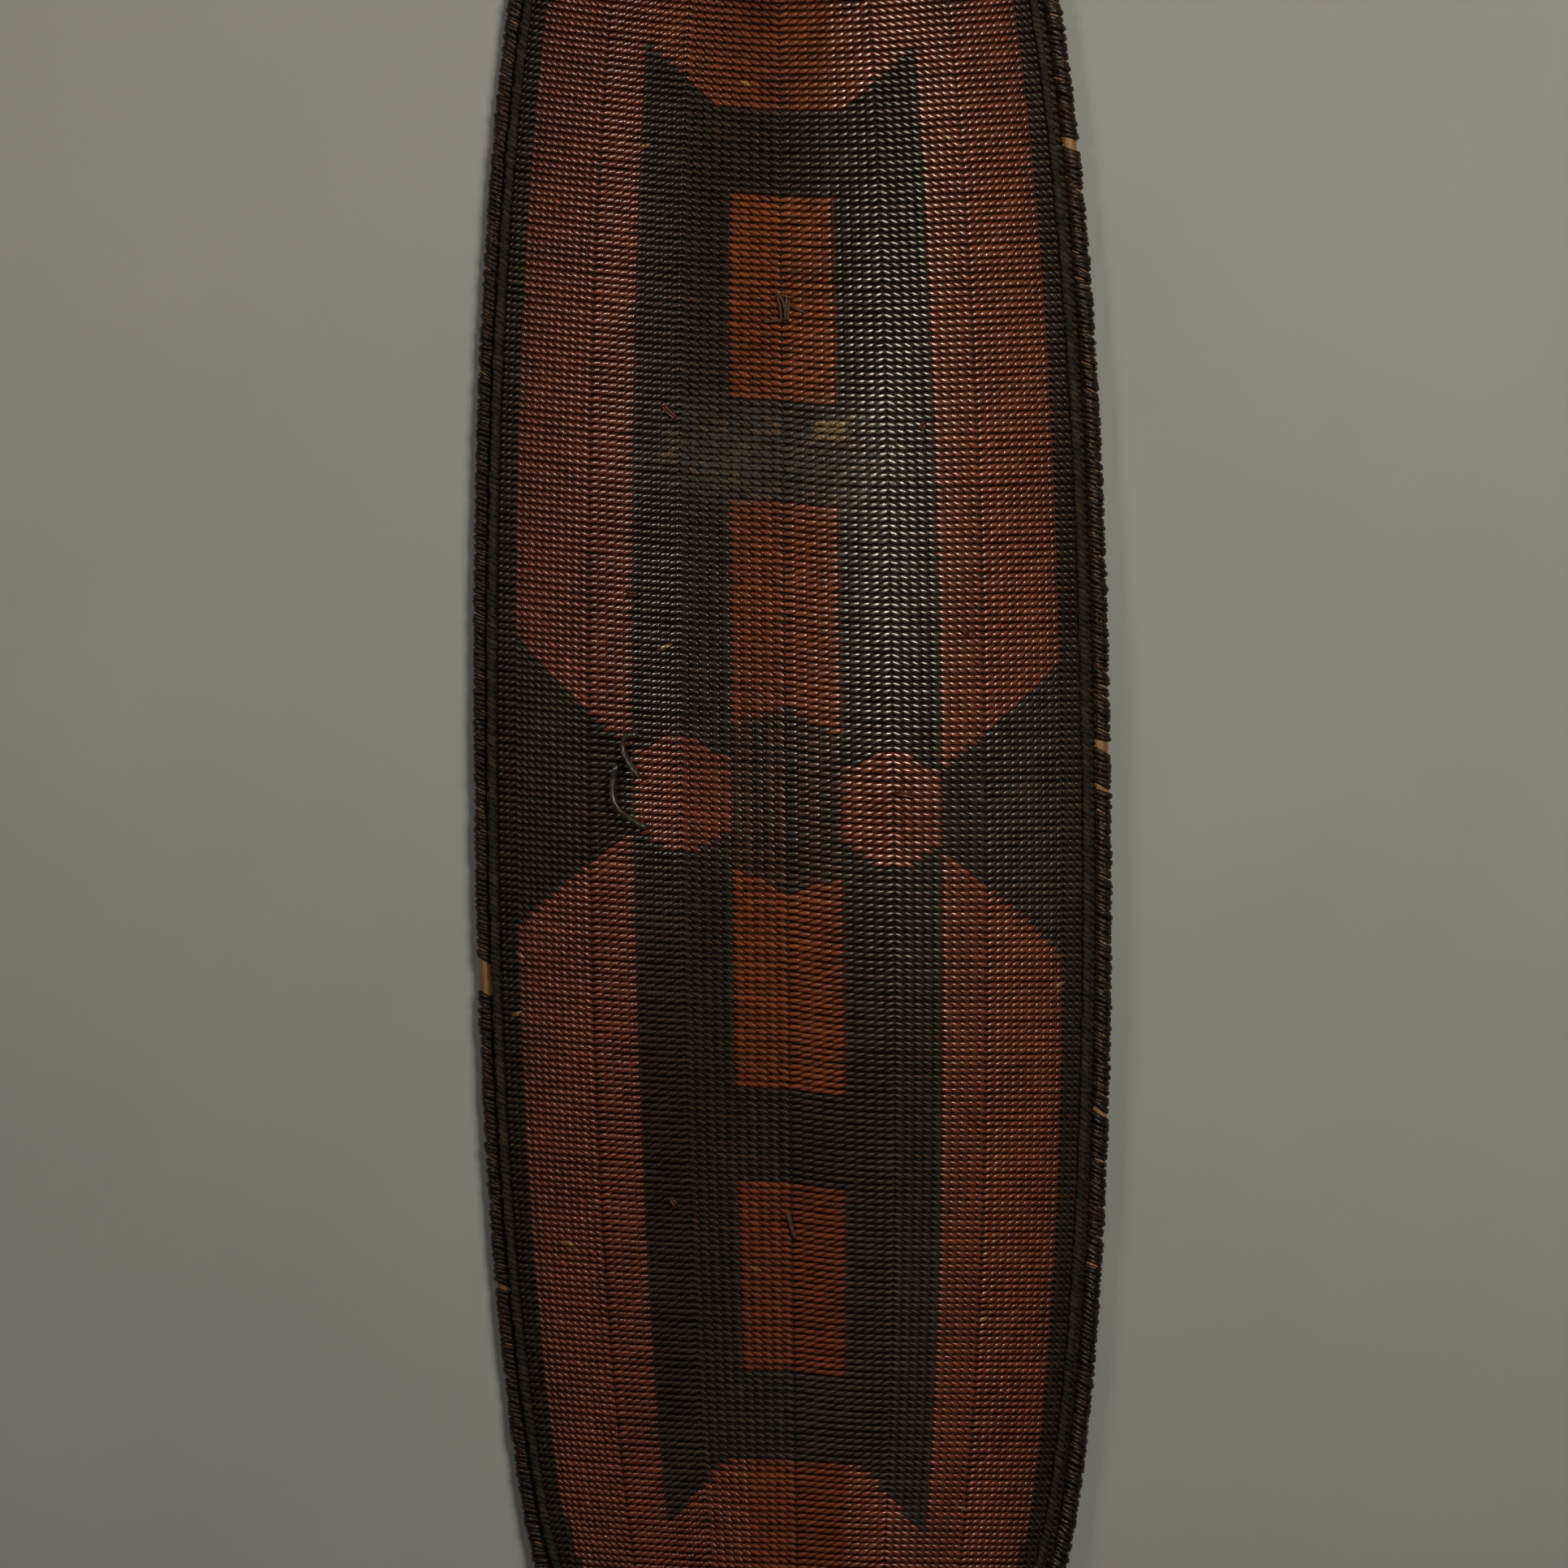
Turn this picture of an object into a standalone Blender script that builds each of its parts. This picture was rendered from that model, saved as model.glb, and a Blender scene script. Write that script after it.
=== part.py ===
"""A long woven fibre shield, lying with its face up.

A bowed sheet of twined fibre is held in a bent rod that is wrapped with split cane. A thin cord lies
on the face inside the rim. Behind the sheet is a carved wooden grip, tied through the weave.
+X runs across the shield, +Y towards its longer end and +Z out of its face. The origin is on the
floor under the middle of the part. All sizes are in metres.
"""

import math

import bmesh
import bpy
from mathutils import Vector

# Outline, seen from the front. The widest line lies nearer to the lower end. The long sides follow a
# superellipse, and each end is an elliptical cap that takes over smoothly at a share of the length.
SHIELD_WIDTH = 0.370
UPPER_LENGTH = 0.650
LOWER_LENGTH = 0.587
SIDE_POWER = 4.6
LENGTH_POWER = 2.15
CAP_START_SHARE = 0.71

# The sheet: radius across the face, fall of the crown from the widest line to each end, thickness
FACE_RADIUS = 0.288
CROWN_FALL = 0.038
PANEL_THICKNESS = 0.0055

# The rim: bent rod, wrapping and the cord inside it
ROD_RADIUS = 0.0048
BINDING_THICKNESS = 0.0013
CORD_RADIUS = 0.0026
CORD_INSET = 0.0125
CORD_INSET_MORE_ON_RIGHT = 0.0015

# Places where the wrapping is gone, as heights above the widest line and lengths along the rim
BARE_RIGHT_UPPER = 0.0295
BARE_RIGHT_UPPER_LENGTH = 0.009
BARE_RIGHT_LOWER = -0.1825
BARE_RIGHT_LOWER_LENGTH = 0.006
BARE_LEFT = -0.102
BARE_LEFT_LENGTH = 0.022

# The carved grip behind the sheet
GRIP_CENTRE = 0.009
GRIP_LENGTH = 0.110
GRIP_WIDTH = 0.030
GRIP_THICKNESS = 0.022
FINGER_GAP = 0.034
GRIP_RAMP = 0.075
PAD_WIDTH = 0.046
PAD_THICKNESS = 0.013
PAD_LENGTH = 0.062
PAD_END_MARGIN = 0.026
BOARD_CHAMFER = 0.0045

# Ties through the weave, as distances from the widest line
LASHING_ABOVE = 0.283
LASHING_BELOW = 0.245
LASHING_SPAN = 0.0145
LASHING_THICKNESS = 0.0024
UPPER_LASHING_WIDTH = 0.0075
LOWER_LASHING_WIDTH = 0.0036
LASHING_CHAMFER = 0.0008

# Thong ends on the face, left of the centre
THONG_RADIUS = 0.0018
THONG_REACH_BEHIND = 0.006
THONG_LIFT = 0.0015

# Clearances: between touching pieces, round a tie in its hole, and under the cord's straight facets
GAP = 0.0003
HOLE_CLEARANCE = 0.0006
CORD_GAP = 0.0006

# Fineness of the facets
STATIONS_IN_QUARTER = 24
STRAIGHT_STEP = 0.045
TURN_STEP = math.radians(8.0)
COLUMNS = 14
ROD_SIDES = 8
CORD_SIDES = 6
THONG_SIDES = 8
RAMP_STEPS = 7

BINDING_RADIUS = ROD_RADIUS + GAP + BINDING_THICKNESS
WIDEST_Y = (LOWER_LENGTH - UPPER_LENGTH) / 2


def clear_scene():
    """Remove every object that is in the scene at the start."""
    for obj in list(bpy.data.objects):
        bpy.data.objects.remove(obj, do_unlink=True)


def make_material(name, colour, roughness, metallic=0.0):
    """A plain Principled material."""
    material = bpy.data.materials.new(name)
    material.use_nodes = True
    shader = material.node_tree.nodes["Principled BSDF"]
    shader.inputs["Base Color"].default_value = (*colour, 1.0)
    shader.inputs["Roughness"].default_value = roughness
    shader.inputs["Metallic"].default_value = metallic
    return material


def half_length(y):
    """Length of the half of the shield that y lies in."""
    return UPPER_LENGTH if y >= WIDEST_Y else LOWER_LENGTH


def fall(x, y):
    """How far the sheet's middle layer lies under its highest point."""
    across = FACE_RADIUS - math.sqrt(FACE_RADIUS**2 - x**2)
    along = CROWN_FALL * ((y - WIDEST_Y) / half_length(y)) ** 2
    return across + along


def slopes(x, y):
    """Rise of the sheet per metre along X and along Y."""
    along_x = -x / math.sqrt(FACE_RADIUS**2 - x**2)
    along_y = -2 * CROWN_FALL * (y - WIDEST_Y) / half_length(y) ** 2
    return along_x, along_y


def face_normal(x, y):
    """Unit vector that points out of the face."""
    along_x, along_y = slopes(x, y)
    return Vector((-along_x, -along_y, 1.0)).normalized()


def side_width(along, length):
    """Half width of the long side at a distance from the widest line, and its slope there."""
    share = along / length
    inside = 1 - share**LENGTH_POWER
    width = SHIELD_WIDTH / 2 * inside ** (1 / SIDE_POWER)
    slope = -width * LENGTH_POWER * share ** (LENGTH_POWER - 1) / (length * SIDE_POWER * inside)
    return width, slope


def end_cap(length):
    """(start angle, half width, length) of the elliptical end that meets the side with no corner."""
    start = CAP_START_SHARE * length
    width, slope = side_width(start, length)
    ratio = -slope * (length - start) / width
    sine = ratio / (1 - ratio)
    return math.asin(sine), width / math.sqrt(1 - sine**2), (length - start) / (1 - sine)


def quarter_curve(length, steps):
    """Closely spaced (half width, distance from the widest line) points, from widest line to end."""
    curve = []
    for i in range(steps):
        along = CAP_START_SHARE * length * i / steps
        curve.append((side_width(along, length)[0], along))
    start, cap_width, cap_length = end_cap(length)
    for i in range(steps + 1):
        angle = start + (math.pi / 2 - start) * i / steps
        curve.append((cap_width * math.cos(angle), length - cap_length * (1 - math.sin(angle))))
    curve[-1] = (0.0, length)
    return curve


def quarter_points(upper):
    """Outline points of one right-hand quarter, closer together where the rim turns in space."""
    length, sign = (UPPER_LENGTH, 1) if upper else (LOWER_LENGTH, -1)
    points = []
    for width, along in quarter_curve(length, 1500):
        y = WIDEST_Y + sign * along
        points.append(Vector((width, y, -fall(width, y))))
    measure = [0.0, (points[1] - points[0]).length / STRAIGHT_STEP]
    for i in range(2, len(points)):
        before = points[i - 1] - points[i - 2]
        after = points[i] - points[i - 1]
        turn = before.angle(after, 0.0)
        measure.append(measure[-1] + after.length / STRAIGHT_STEP + turn / TURN_STEP)
    chosen = []
    place = 0
    for k in range(STATIONS_IN_QUARTER + 1):
        while place < len(points) - 1 and measure[place] < measure[-1] * k / STATIONS_IN_QUARTER:
            place += 1
        chosen.append(Vector((points[place].x, points[place].y, 0.0)))
    chosen[-1] = Vector((0.0, WIDEST_Y + sign * length, 0.0))
    return chosen


def rim_outline():
    """The closed outer outline, anticlockwise from the widest point on the right."""
    upper = quarter_points(True)
    lower = quarter_points(False)
    left_upper = [Vector((-p.x, p.y, 0.0)) for p in reversed(upper[:-1])]
    left_lower = [Vector((-p.x, p.y, 0.0)) for p in lower[1:-1]]
    right_lower = [p.copy() for p in reversed(lower[1:])]
    return upper + left_upper + left_lower + right_lower


def plan_normals(points):
    """Unit vectors that point out of a closed outline, in plan."""
    normals = []
    for i, point in enumerate(points):
        along = points[(i + 1) % len(points)] - points[i - 1]
        normals.append(Vector((along.y, -along.x, 0.0)).normalized())
    return normals


def rod_stations():
    """(centre of the rod, outward vector in plan) at each station of the rim, before lifting."""
    points = rim_outline()
    stations = []
    for point, normal in zip(points, plan_normals(points)):
        centre = point - normal * BINDING_RADIUS
        centre.z = -fall(centre.x, centre.y)
        stations.append((centre, normal))
    return stations


def ring_points(centre, outward, up, radius, sides, turned=0.0):
    """One round section as a list of points."""
    section = []
    for k in range(sides):
        angle = 2 * math.pi * (k + turned) / sides
        section.append(centre + outward * (radius * math.cos(angle)) + up * (radius * math.sin(angle)))
    return section


STATIONS = rod_stations()
LIFT = BINDING_RADIUS - min(centre.z for centre, _ in STATIONS)


def surface(x, y, offset=0.0):
    """Point of the lifted sheet's middle layer at (x, y), moved by offset along the normal."""
    return Vector((x, y, LIFT - fall(x, y))) + face_normal(x, y) * offset


def height_at(x, y, offset):
    """Height of the layer that lies offset from the middle layer, straight above or below (x, y)."""
    along_x, along_y = slopes(x, y)
    return LIFT - fall(x, y) + offset * math.sqrt(1 + along_x**2 + along_y**2)


def inset_point(station, distance):
    """Point of the middle layer that lies distance inwards from the rod's centre, along the sheet."""
    centre, outward = station
    along_x, along_y = slopes(centre.x, centre.y)
    rise = -(along_x * outward.x + along_y * outward.y)
    plan = centre - outward * (distance / math.sqrt(1 + rise**2))
    return plan.x, plan.y


def new_object(name, bm, material, smooth_angle=40):
    """Turn a bmesh into a named object with outward faces."""
    bmesh.ops.recalc_face_normals(bm, faces=bm.faces)
    mesh = bpy.data.meshes.new(name)
    bm.to_mesh(mesh)
    bm.free()
    mesh.materials.append(material)
    mesh.shade_smooth()
    mesh.set_sharp_from_angle(angle=math.radians(smooth_angle))
    obj = bpy.data.objects.new(name, mesh)
    bpy.context.scene.collection.objects.link(obj)
    return obj


def loft(sections, closed, capped=True):
    """A bmesh through equal sections: a closed ring of them, or a capped run."""
    bm = bmesh.new()
    loops = [[bm.verts.new(point) for point in section] for section in sections]
    count = len(loops)
    sides = len(loops[0])
    for i in range(count if closed else count - 1):
        here, there = loops[i], loops[(i + 1) % count]
        for k in range(sides):
            bm.faces.new((here[k], here[(k + 1) % sides], there[(k + 1) % sides], there[k]))
    if not closed and capped:
        bm.faces.new(loops[0])
        bm.faces.new(loops[-1])
    return bm


def make_rim_rod(material):
    """The bent rod that goes all round the sheet."""
    up = Vector((0.0, 0.0, 1.0))
    lift = up * LIFT
    sections = [ring_points(c + lift, out, up, ROD_RADIUS, ROD_SIDES) for c, out in STATIONS]
    return new_object("rim_rod", loft(sections, True), material)


def rim_station_at(side, height):
    """Place along the list of stations, with its fraction, of a height above the widest line."""
    count = len(STATIONS)
    for i in range(count):
        here = STATIONS[i][0]
        there = STATIONS[(i + 1) % count][0]
        low, high = sorted((here.y - WIDEST_Y, there.y - WIDEST_Y))
        if here.x * side > SHIELD_WIDTH / 4 and low <= height < high:
            share = (height - (here.y - WIDEST_Y)) / (there.y - here.y)
            return i + share
    return 0.0


def station_between(place):
    """(centre, outward) at a fractional place along the stations."""
    count = len(STATIONS)
    index = int(math.floor(place)) % count
    share = place - math.floor(place)
    here, there = STATIONS[index], STATIONS[(index + 1) % count]
    centre = here[0].lerp(there[0], share)
    outward = here[1].lerp(there[1], share).normalized()
    return centre, outward


def make_binding_run(name, start, end, material):
    """One run of wrapping: a tube round the rod between two places on the rim."""
    count = len(STATIONS)
    if end < start:
        end += count
    places = [start] + [k for k in range(math.ceil(start + 0.05), math.ceil(end - 0.05))] + [end]
    up = Vector((0.0, 0.0, 1.0))
    bm = bmesh.new()
    outer_loops = []
    inner_loops = []
    for place in places:
        centre, outward = station_between(place)
        centre = centre + up * LIFT
        outer = ring_points(centre, outward, up, BINDING_RADIUS, ROD_SIDES)
        inner = ring_points(centre, outward, up, ROD_RADIUS + GAP, ROD_SIDES)
        outer_loops.append([bm.verts.new(p) for p in outer])
        inner_loops.append([bm.verts.new(p) for p in inner])
    for i in range(len(places) - 1):
        for k in range(ROD_SIDES):
            m = (k + 1) % ROD_SIDES
            bm.faces.new((outer_loops[i][k], outer_loops[i][m], outer_loops[i + 1][m], outer_loops[i + 1][k]))
            bm.faces.new((inner_loops[i][m], inner_loops[i][k], inner_loops[i + 1][k], inner_loops[i + 1][m]))
    for i in (0, -1):
        for k in range(ROD_SIDES):
            m = (k + 1) % ROD_SIDES
            bm.faces.new((outer_loops[i][k], outer_loops[i][m], inner_loops[i][m], inner_loops[i][k]))
    return new_object(name, bm, material)


def bare_ends(side, height, length):
    """Places on the rim of the upper and the lower end of a bare stretch."""
    upper = rim_station_at(side, height + length / 2)
    lower = rim_station_at(side, height - length / 2)
    return upper, lower


def make_rim_bindings(material):
    """The wrapping in three runs, broken where the rod is bare."""
    right_upper_top, right_upper_foot = bare_ends(1, BARE_RIGHT_UPPER, BARE_RIGHT_UPPER_LENGTH)
    right_lower_top, right_lower_foot = bare_ends(1, BARE_RIGHT_LOWER, BARE_RIGHT_LOWER_LENGTH)
    left_top, left_foot = bare_ends(-1, BARE_LEFT, BARE_LEFT_LENGTH)
    make_binding_run("rim_binding_upper", right_upper_top, left_top, material)
    make_binding_run("rim_binding_lower", left_foot, right_lower_foot, material)
    make_binding_run("rim_binding_right", right_lower_top, right_upper_foot, material)


def panel_rows():
    """(half width, y) of each row of the sheet, from the upper end to the lower end, and both tips."""
    rows = []
    tips = []
    for station in STATIONS:
        half_width, y = inset_point(station, BINDING_RADIUS + GAP)
        if abs(half_width) < GAP:
            tips.append(y)
        elif half_width > 0:
            rows.append((half_width, y))
    rows.sort(key=lambda row: -row[1])
    return rows, max(tips), min(tips)


def panel_layer(bm, offset):
    """Vertices of one layer of the sheet: the rows, and the upper and lower tip."""
    rows, upper_tip, lower_tip = panel_rows()
    lines = []
    for half_width, y in rows:
        xs = [half_width * (2 * k / COLUMNS - 1) for k in range(COLUMNS + 1)]
        lines.append([bm.verts.new(surface(x, y, offset)) for x in xs])
    tips = [bm.verts.new(surface(0.0, y, offset)) for y in (upper_tip, lower_tip)]
    return lines, tips


def make_panel(material):
    """The bowed sheet. Its holes are cut later, by the ties that go through it."""
    bm = bmesh.new()
    face, face_tips = panel_layer(bm, PANEL_THICKNESS / 2)
    back, back_tips = panel_layer(bm, -PANEL_THICKNESS / 2)
    last = len(face) - 1
    for i in range(last):
        for k in range(COLUMNS):
            bm.faces.new((face[i][k], face[i + 1][k], face[i + 1][k + 1], face[i][k + 1]))
            bm.faces.new((back[i][k + 1], back[i + 1][k + 1], back[i + 1][k], back[i][k]))
        for k in (0, COLUMNS):
            bm.faces.new((face[i][k], face[i + 1][k], back[i + 1][k], back[i][k]))
    for i, face_tip, back_tip in zip((0, last), face_tips, back_tips):
        for k in range(COLUMNS):
            bm.faces.new((face[i][k], face[i][k + 1], face_tip))
            bm.faces.new((back[i][k + 1], back[i][k], back_tip))
        for k in (0, COLUMNS):
            bm.faces.new((face[i][k], face_tip, back_tip, back[i][k]))
    return new_object("woven_panel", bm, material)


def make_edge_cord(material):
    """The thin cord that lies on the face inside the rim."""
    sections = []
    for station in STATIONS:
        inset = CORD_INSET + CORD_INSET_MORE_ON_RIGHT * station[0].x / (SHIELD_WIDTH / 2)
        x, y = inset_point(station, inset)
        normal = face_normal(x, y)
        lowest = CORD_RADIUS * math.cos(math.pi / CORD_SIDES)
        centre = surface(x, y, PANEL_THICKNESS / 2 + CORD_GAP + lowest)
        outward = (station[1] - normal * station[1].dot(normal)).normalized()
        sections.append(ring_points(centre, outward, normal, CORD_RADIUS, CORD_SIDES, 0.0))
    return new_object("edge_cord", loft(sections, True), material)


def smooth_step(value):
    """Ease from 0 to 1."""
    value = min(max(value, 0.0), 1.0)
    return value * value * (3 - 2 * value)


def board_ends():
    """Y of the grip board's upper and lower ends."""
    upper = WIDEST_Y + LASHING_ABOVE + PAD_END_MARGIN
    lower = WIDEST_Y - LASHING_BELOW - PAD_END_MARGIN
    return upper, lower


def board_top(y, half_width):
    """Height of the flat strip on the board's upper side that lies against the sheet."""
    return height_at(half_width, y, -PANEL_THICKNESS / 2) - GAP


def pad_back(upper):
    """Height of the flat back of one pad."""
    end_upper, end_lower = board_ends()
    return board_top(end_upper if upper else end_lower, PAD_WIDTH / 2) - PAD_THICKNESS


def board_section(y):
    """Half width, top and bottom of the grip board at y."""
    centre = WIDEST_Y + GRIP_CENTRE
    from_centre = abs(y - centre)
    hold = 1 - smooth_step((from_centre - GRIP_LENGTH / 2) / GRIP_RAMP)
    half_width = (PAD_WIDTH + (GRIP_WIDTH - PAD_WIDTH) * hold) / 2
    top = board_top(y, PAD_WIDTH / 2) - FINGER_GAP * hold
    pad_bottom = pad_back(y > centre)
    grip_bottom = board_top(centre, PAD_WIDTH / 2) - FINGER_GAP - GRIP_THICKNESS
    return half_width, top, pad_bottom + (grip_bottom - pad_bottom) * hold


def board_stations():
    """Y of each section of the board."""
    upper, lower = board_ends()
    centre = WIDEST_Y + GRIP_CENTRE
    ys = [upper, upper - PAD_LENGTH, centre, lower + PAD_LENGTH, lower]
    for side in (-1, 1):
        for k in range(RAMP_STEPS + 1):
            ys.append(centre + side * (GRIP_LENGTH / 2 + GRIP_RAMP * k / RAMP_STEPS))
    return sorted(set(round(y, 6) for y in ys))


def make_grip_board(material):
    """The carved grip: two flat pads and a hand hold that stands off the sheet between them."""
    sections = []
    for y in board_stations():
        w, top, bottom = board_section(y)
        c = BOARD_CHAMFER
        outline_xz = [
            (-w + c, top), (w - c, top), (w, top - c), (w, bottom + c),
            (w - c, bottom), (-w + c, bottom), (-w, bottom + c), (-w, top - c),
        ]
        sections.append([Vector((x, y, z)) for x, z in outline_xz])
    return new_object("grip_board", loft(sections, False), material, 30)


def lashing_profile(y, width, upper):
    """Outer and inner (y, z) outline of a tie that goes through the sheet and the pad."""
    low, high = y - LASHING_SPAN / 2, y + LASHING_SPAN / 2
    half, c = LASHING_THICKNESS / 2, LASHING_CHAMFER
    back = pad_back(upper) - GAP
    front = max(height_at(0.0, end, PANEL_THICKNESS / 2) for end in (low, high)) + GAP
    outer = []
    for end, side in ((low, -1), (high, 1)):
        side_y = end + side * half
        foot, head = back - LASHING_THICKNESS, front + LASHING_THICKNESS
        stretch = [(side_y, head - c), (side_y, foot + c), (side_y - side * c, foot)]
        stretch.insert(0, (side_y - side * c, head))
        outer += stretch if side < 0 else stretch[::-1]
    inner = [(low + half, front), (low + half, back), (high - half, back), (high - half, front)]
    return outer, inner


def make_lashing(name, y, width, upper, material):
    """A flat tie: over the face, through the sheet and the pad, and across the pad's back."""
    outer, inner = lashing_profile(y, width, upper)
    bm = bmesh.new()
    rings = []
    cores = []
    for x in (-width / 2, width / 2):
        ring = [bm.verts.new((x, *point)) for point in outer]
        core = [bm.verts.new((x, *point)) for point in inner]
        for corner in range(4):
            first, second = ring[2 * corner], ring[2 * corner + 1]
            third = ring[(2 * corner + 2) % 8]
            bm.faces.new((first, second, core[corner]))
            bm.faces.new((second, third, core[(corner + 1) % 4], core[corner]))
        rings.append(ring)
        cores.append(core)
    for near, far in (rings, cores):
        for k in range(len(near)):
            m = (k + 1) % len(near)
            bm.faces.new((near[k], near[m], far[m], far[k]))
    return new_object(name, bm, material, 30)


def box_cutter(name, centre, size):
    """A hidden box for a hole."""
    bm = bmesh.new()
    bmesh.ops.create_cube(bm, size=1.0)
    for vert in bm.verts:
        vert.co = Vector((vert.co.x * size[0], vert.co.y * size[1], vert.co.z * size[2])) + Vector(centre)
    return hide_cutter(name, bm)


def hide_cutter(name, bm):
    """Turn a bmesh into a cutter that isn't rendered."""
    bmesh.ops.recalc_face_normals(bm, faces=bm.faces)
    mesh = bpy.data.meshes.new(name)
    bm.to_mesh(mesh)
    bm.free()
    obj = bpy.data.objects.new(name, mesh)
    obj.hide_render = True
    obj.display_type = "WIRE"
    bpy.context.scene.collection.objects.link(obj)
    return obj


def cut(obj, cutter):
    """Subtract a cutter from an object with a live modifier."""
    modifier = obj.modifiers.new(cutter.name, "BOOLEAN")
    modifier.operation = "DIFFERENCE"
    modifier.solver = "EXACT"
    modifier.object = cutter


def cut_lashing_holes(panel, board, name, y, width, upper):
    """Two slots for the legs of a tie, through the sheet and the pad."""
    top = height_at(0.0, y, PANEL_THICKNESS / 2) + PAD_THICKNESS
    bottom = pad_back(upper) - PAD_THICKNESS
    size = (width + 2 * HOLE_CLEARANCE, LASHING_THICKNESS + 2 * HOLE_CLEARANCE, top - bottom)
    for end, side in (("low", -1), ("high", 1)):
        centre = (0.0, y + side * LASHING_SPAN / 2, (top + bottom) / 2)
        cutter = box_cutter(f"{name}_hole_{end}", centre, size)
        cut(panel, cutter)
        cut(board, cutter)


def thong_paths():
    """Plan points of both thongs on the face: (x, distance above the widest line, height over the face)."""
    rest = THONG_RADIUS + GAP + THONG_LIFT
    free = [
        (-0.0858, 0.0378, rest), (-0.0901, 0.0366, rest), (-0.0925, 0.0330, rest), (-0.0922, 0.0284, rest),
        (-0.0897, 0.0238, rest + 0.0008), (-0.0864, 0.0190, rest + 0.0022), (-0.0821, 0.0134, rest + 0.0042),
    ]
    stitched = [
        (-0.0964, 0.0195, rest), (-0.0978, 0.0135, rest + 0.0006), (-0.0984, 0.0070, rest + 0.0012),
        (-0.0976, 0.0005, rest + 0.0012), (-0.0946, -0.0053, rest + 0.0010),
        (-0.0903, -0.0091, rest + 0.0005), (-0.0857, -0.0124, rest), (-0.0812, -0.0147, rest),
    ]
    return free, stitched


def tube_along(name, points, radius, sides, material):
    """A round tube through a list of points."""
    sections = []
    across = None
    for i, point in enumerate(points):
        before = points[max(i - 1, 0)]
        after = points[min(i + 1, len(points) - 1)]
        direction = (after - before).normalized()
        if across is None:
            across = direction.orthogonal().normalized()
        across = (across - direction * across.dot(direction)).normalized()
        other = direction.cross(across)
        sections.append(ring_points(point, across, other, radius, sides))
    return new_object(name, loft(sections, False), material, 50)


def thong_points(path, root_at_both_ends):
    """Points of a thong in space, with a leg through the sheet at each root."""
    points = [surface(x, WIDEST_Y + y, PANEL_THICKNESS / 2 + height) for x, y, height in path]
    behind = -PANEL_THICKNESS / 2 - THONG_REACH_BEHIND
    level = PANEL_THICKNESS / 2 + GAP
    x, y, _ = path[0]
    leg = [surface(x, WIDEST_Y + y, behind), surface(x, WIDEST_Y + y, level)]
    points = leg + points
    if root_at_both_ends:
        x, y, _ = path[-1]
        points += [surface(x, WIDEST_Y + y, level), surface(x, WIDEST_Y + y, behind)]
    return points


def cut_thong_hole(panel, name, x, y):
    """A round hole through the sheet, along its normal."""
    radius = (THONG_RADIUS + HOLE_CLEARANCE) / math.cos(math.pi / THONG_SIDES)
    normal = face_normal(x, y)
    across = Vector((0.0, 1.0, 0.0)).cross(normal).normalized()
    other = normal.cross(across)
    sections = []
    for offset in (-3 * PANEL_THICKNESS, 3 * PANEL_THICKNESS):
        sections.append(ring_points(surface(x, y, offset), across, other, radius, THONG_SIDES))
    cut(panel, hide_cutter(name, loft(sections, False)))


def make_thongs(panel, material):
    """Both dark thong ends and the holes that they go through."""
    free, stitched = thong_paths()
    tube_along("thong_free", thong_points(free, False), THONG_RADIUS, THONG_SIDES, material)
    tube_along("thong_stitched", thong_points(stitched, True), THONG_RADIUS, THONG_SIDES, material)
    cut_thong_hole(panel, "thong_hole_free", free[0][0], WIDEST_Y + free[0][1])
    cut_thong_hole(panel, "thong_hole_first", stitched[0][0], WIDEST_Y + stitched[0][1])
    cut_thong_hole(panel, "thong_hole_last", stitched[-1][0], WIDEST_Y + stitched[-1][1])


def main():
    """Build the whole shield."""
    clear_scene()
    weave = make_material("weave", (0.115, 0.035, 0.016), 0.42)
    rod_wood = make_material("rod_wood", (0.30, 0.15, 0.05), 0.6)
    wrapping = make_material("wrapping", (0.028, 0.016, 0.011), 0.38)
    cord = make_material("cord", (0.035, 0.028, 0.020), 0.6)
    grip_wood = make_material("grip_wood", (0.085, 0.038, 0.018), 0.5)
    tie = make_material("tie", (0.055, 0.028, 0.016), 0.45)
    thong = make_material("thong", (0.020, 0.018, 0.012), 0.25)

    panel = make_panel(weave)
    make_rim_rod(rod_wood)
    make_rim_bindings(wrapping)
    make_edge_cord(cord)
    board = make_grip_board(grip_wood)
    ties = (
        ("lashing_upper", WIDEST_Y + LASHING_ABOVE, UPPER_LASHING_WIDTH, True),
        ("lashing_lower", WIDEST_Y - LASHING_BELOW, LOWER_LASHING_WIDTH, False),
    )
    for name, y, width, upper in ties:
        make_lashing(name, y, width, upper, tie)
        cut_lashing_holes(panel, board, name, y, width, upper)
    make_thongs(panel, thong)


main()
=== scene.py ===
# %% [markdown]
# # A woven fibre shield
# The real object is a long oval sheet of twined plant fibre. Stiff warps run along it, and two wefts
# twist round each other between them, so that every crossing shows one fat slanted stitch. A bent rod
# wrapped with split cane holds the edge, and a thin cord lies inside it. Behind is a wooden grip.
# The solids are loaded first. They fix every size, and this script only adds the finish.

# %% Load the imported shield
import math

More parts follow.
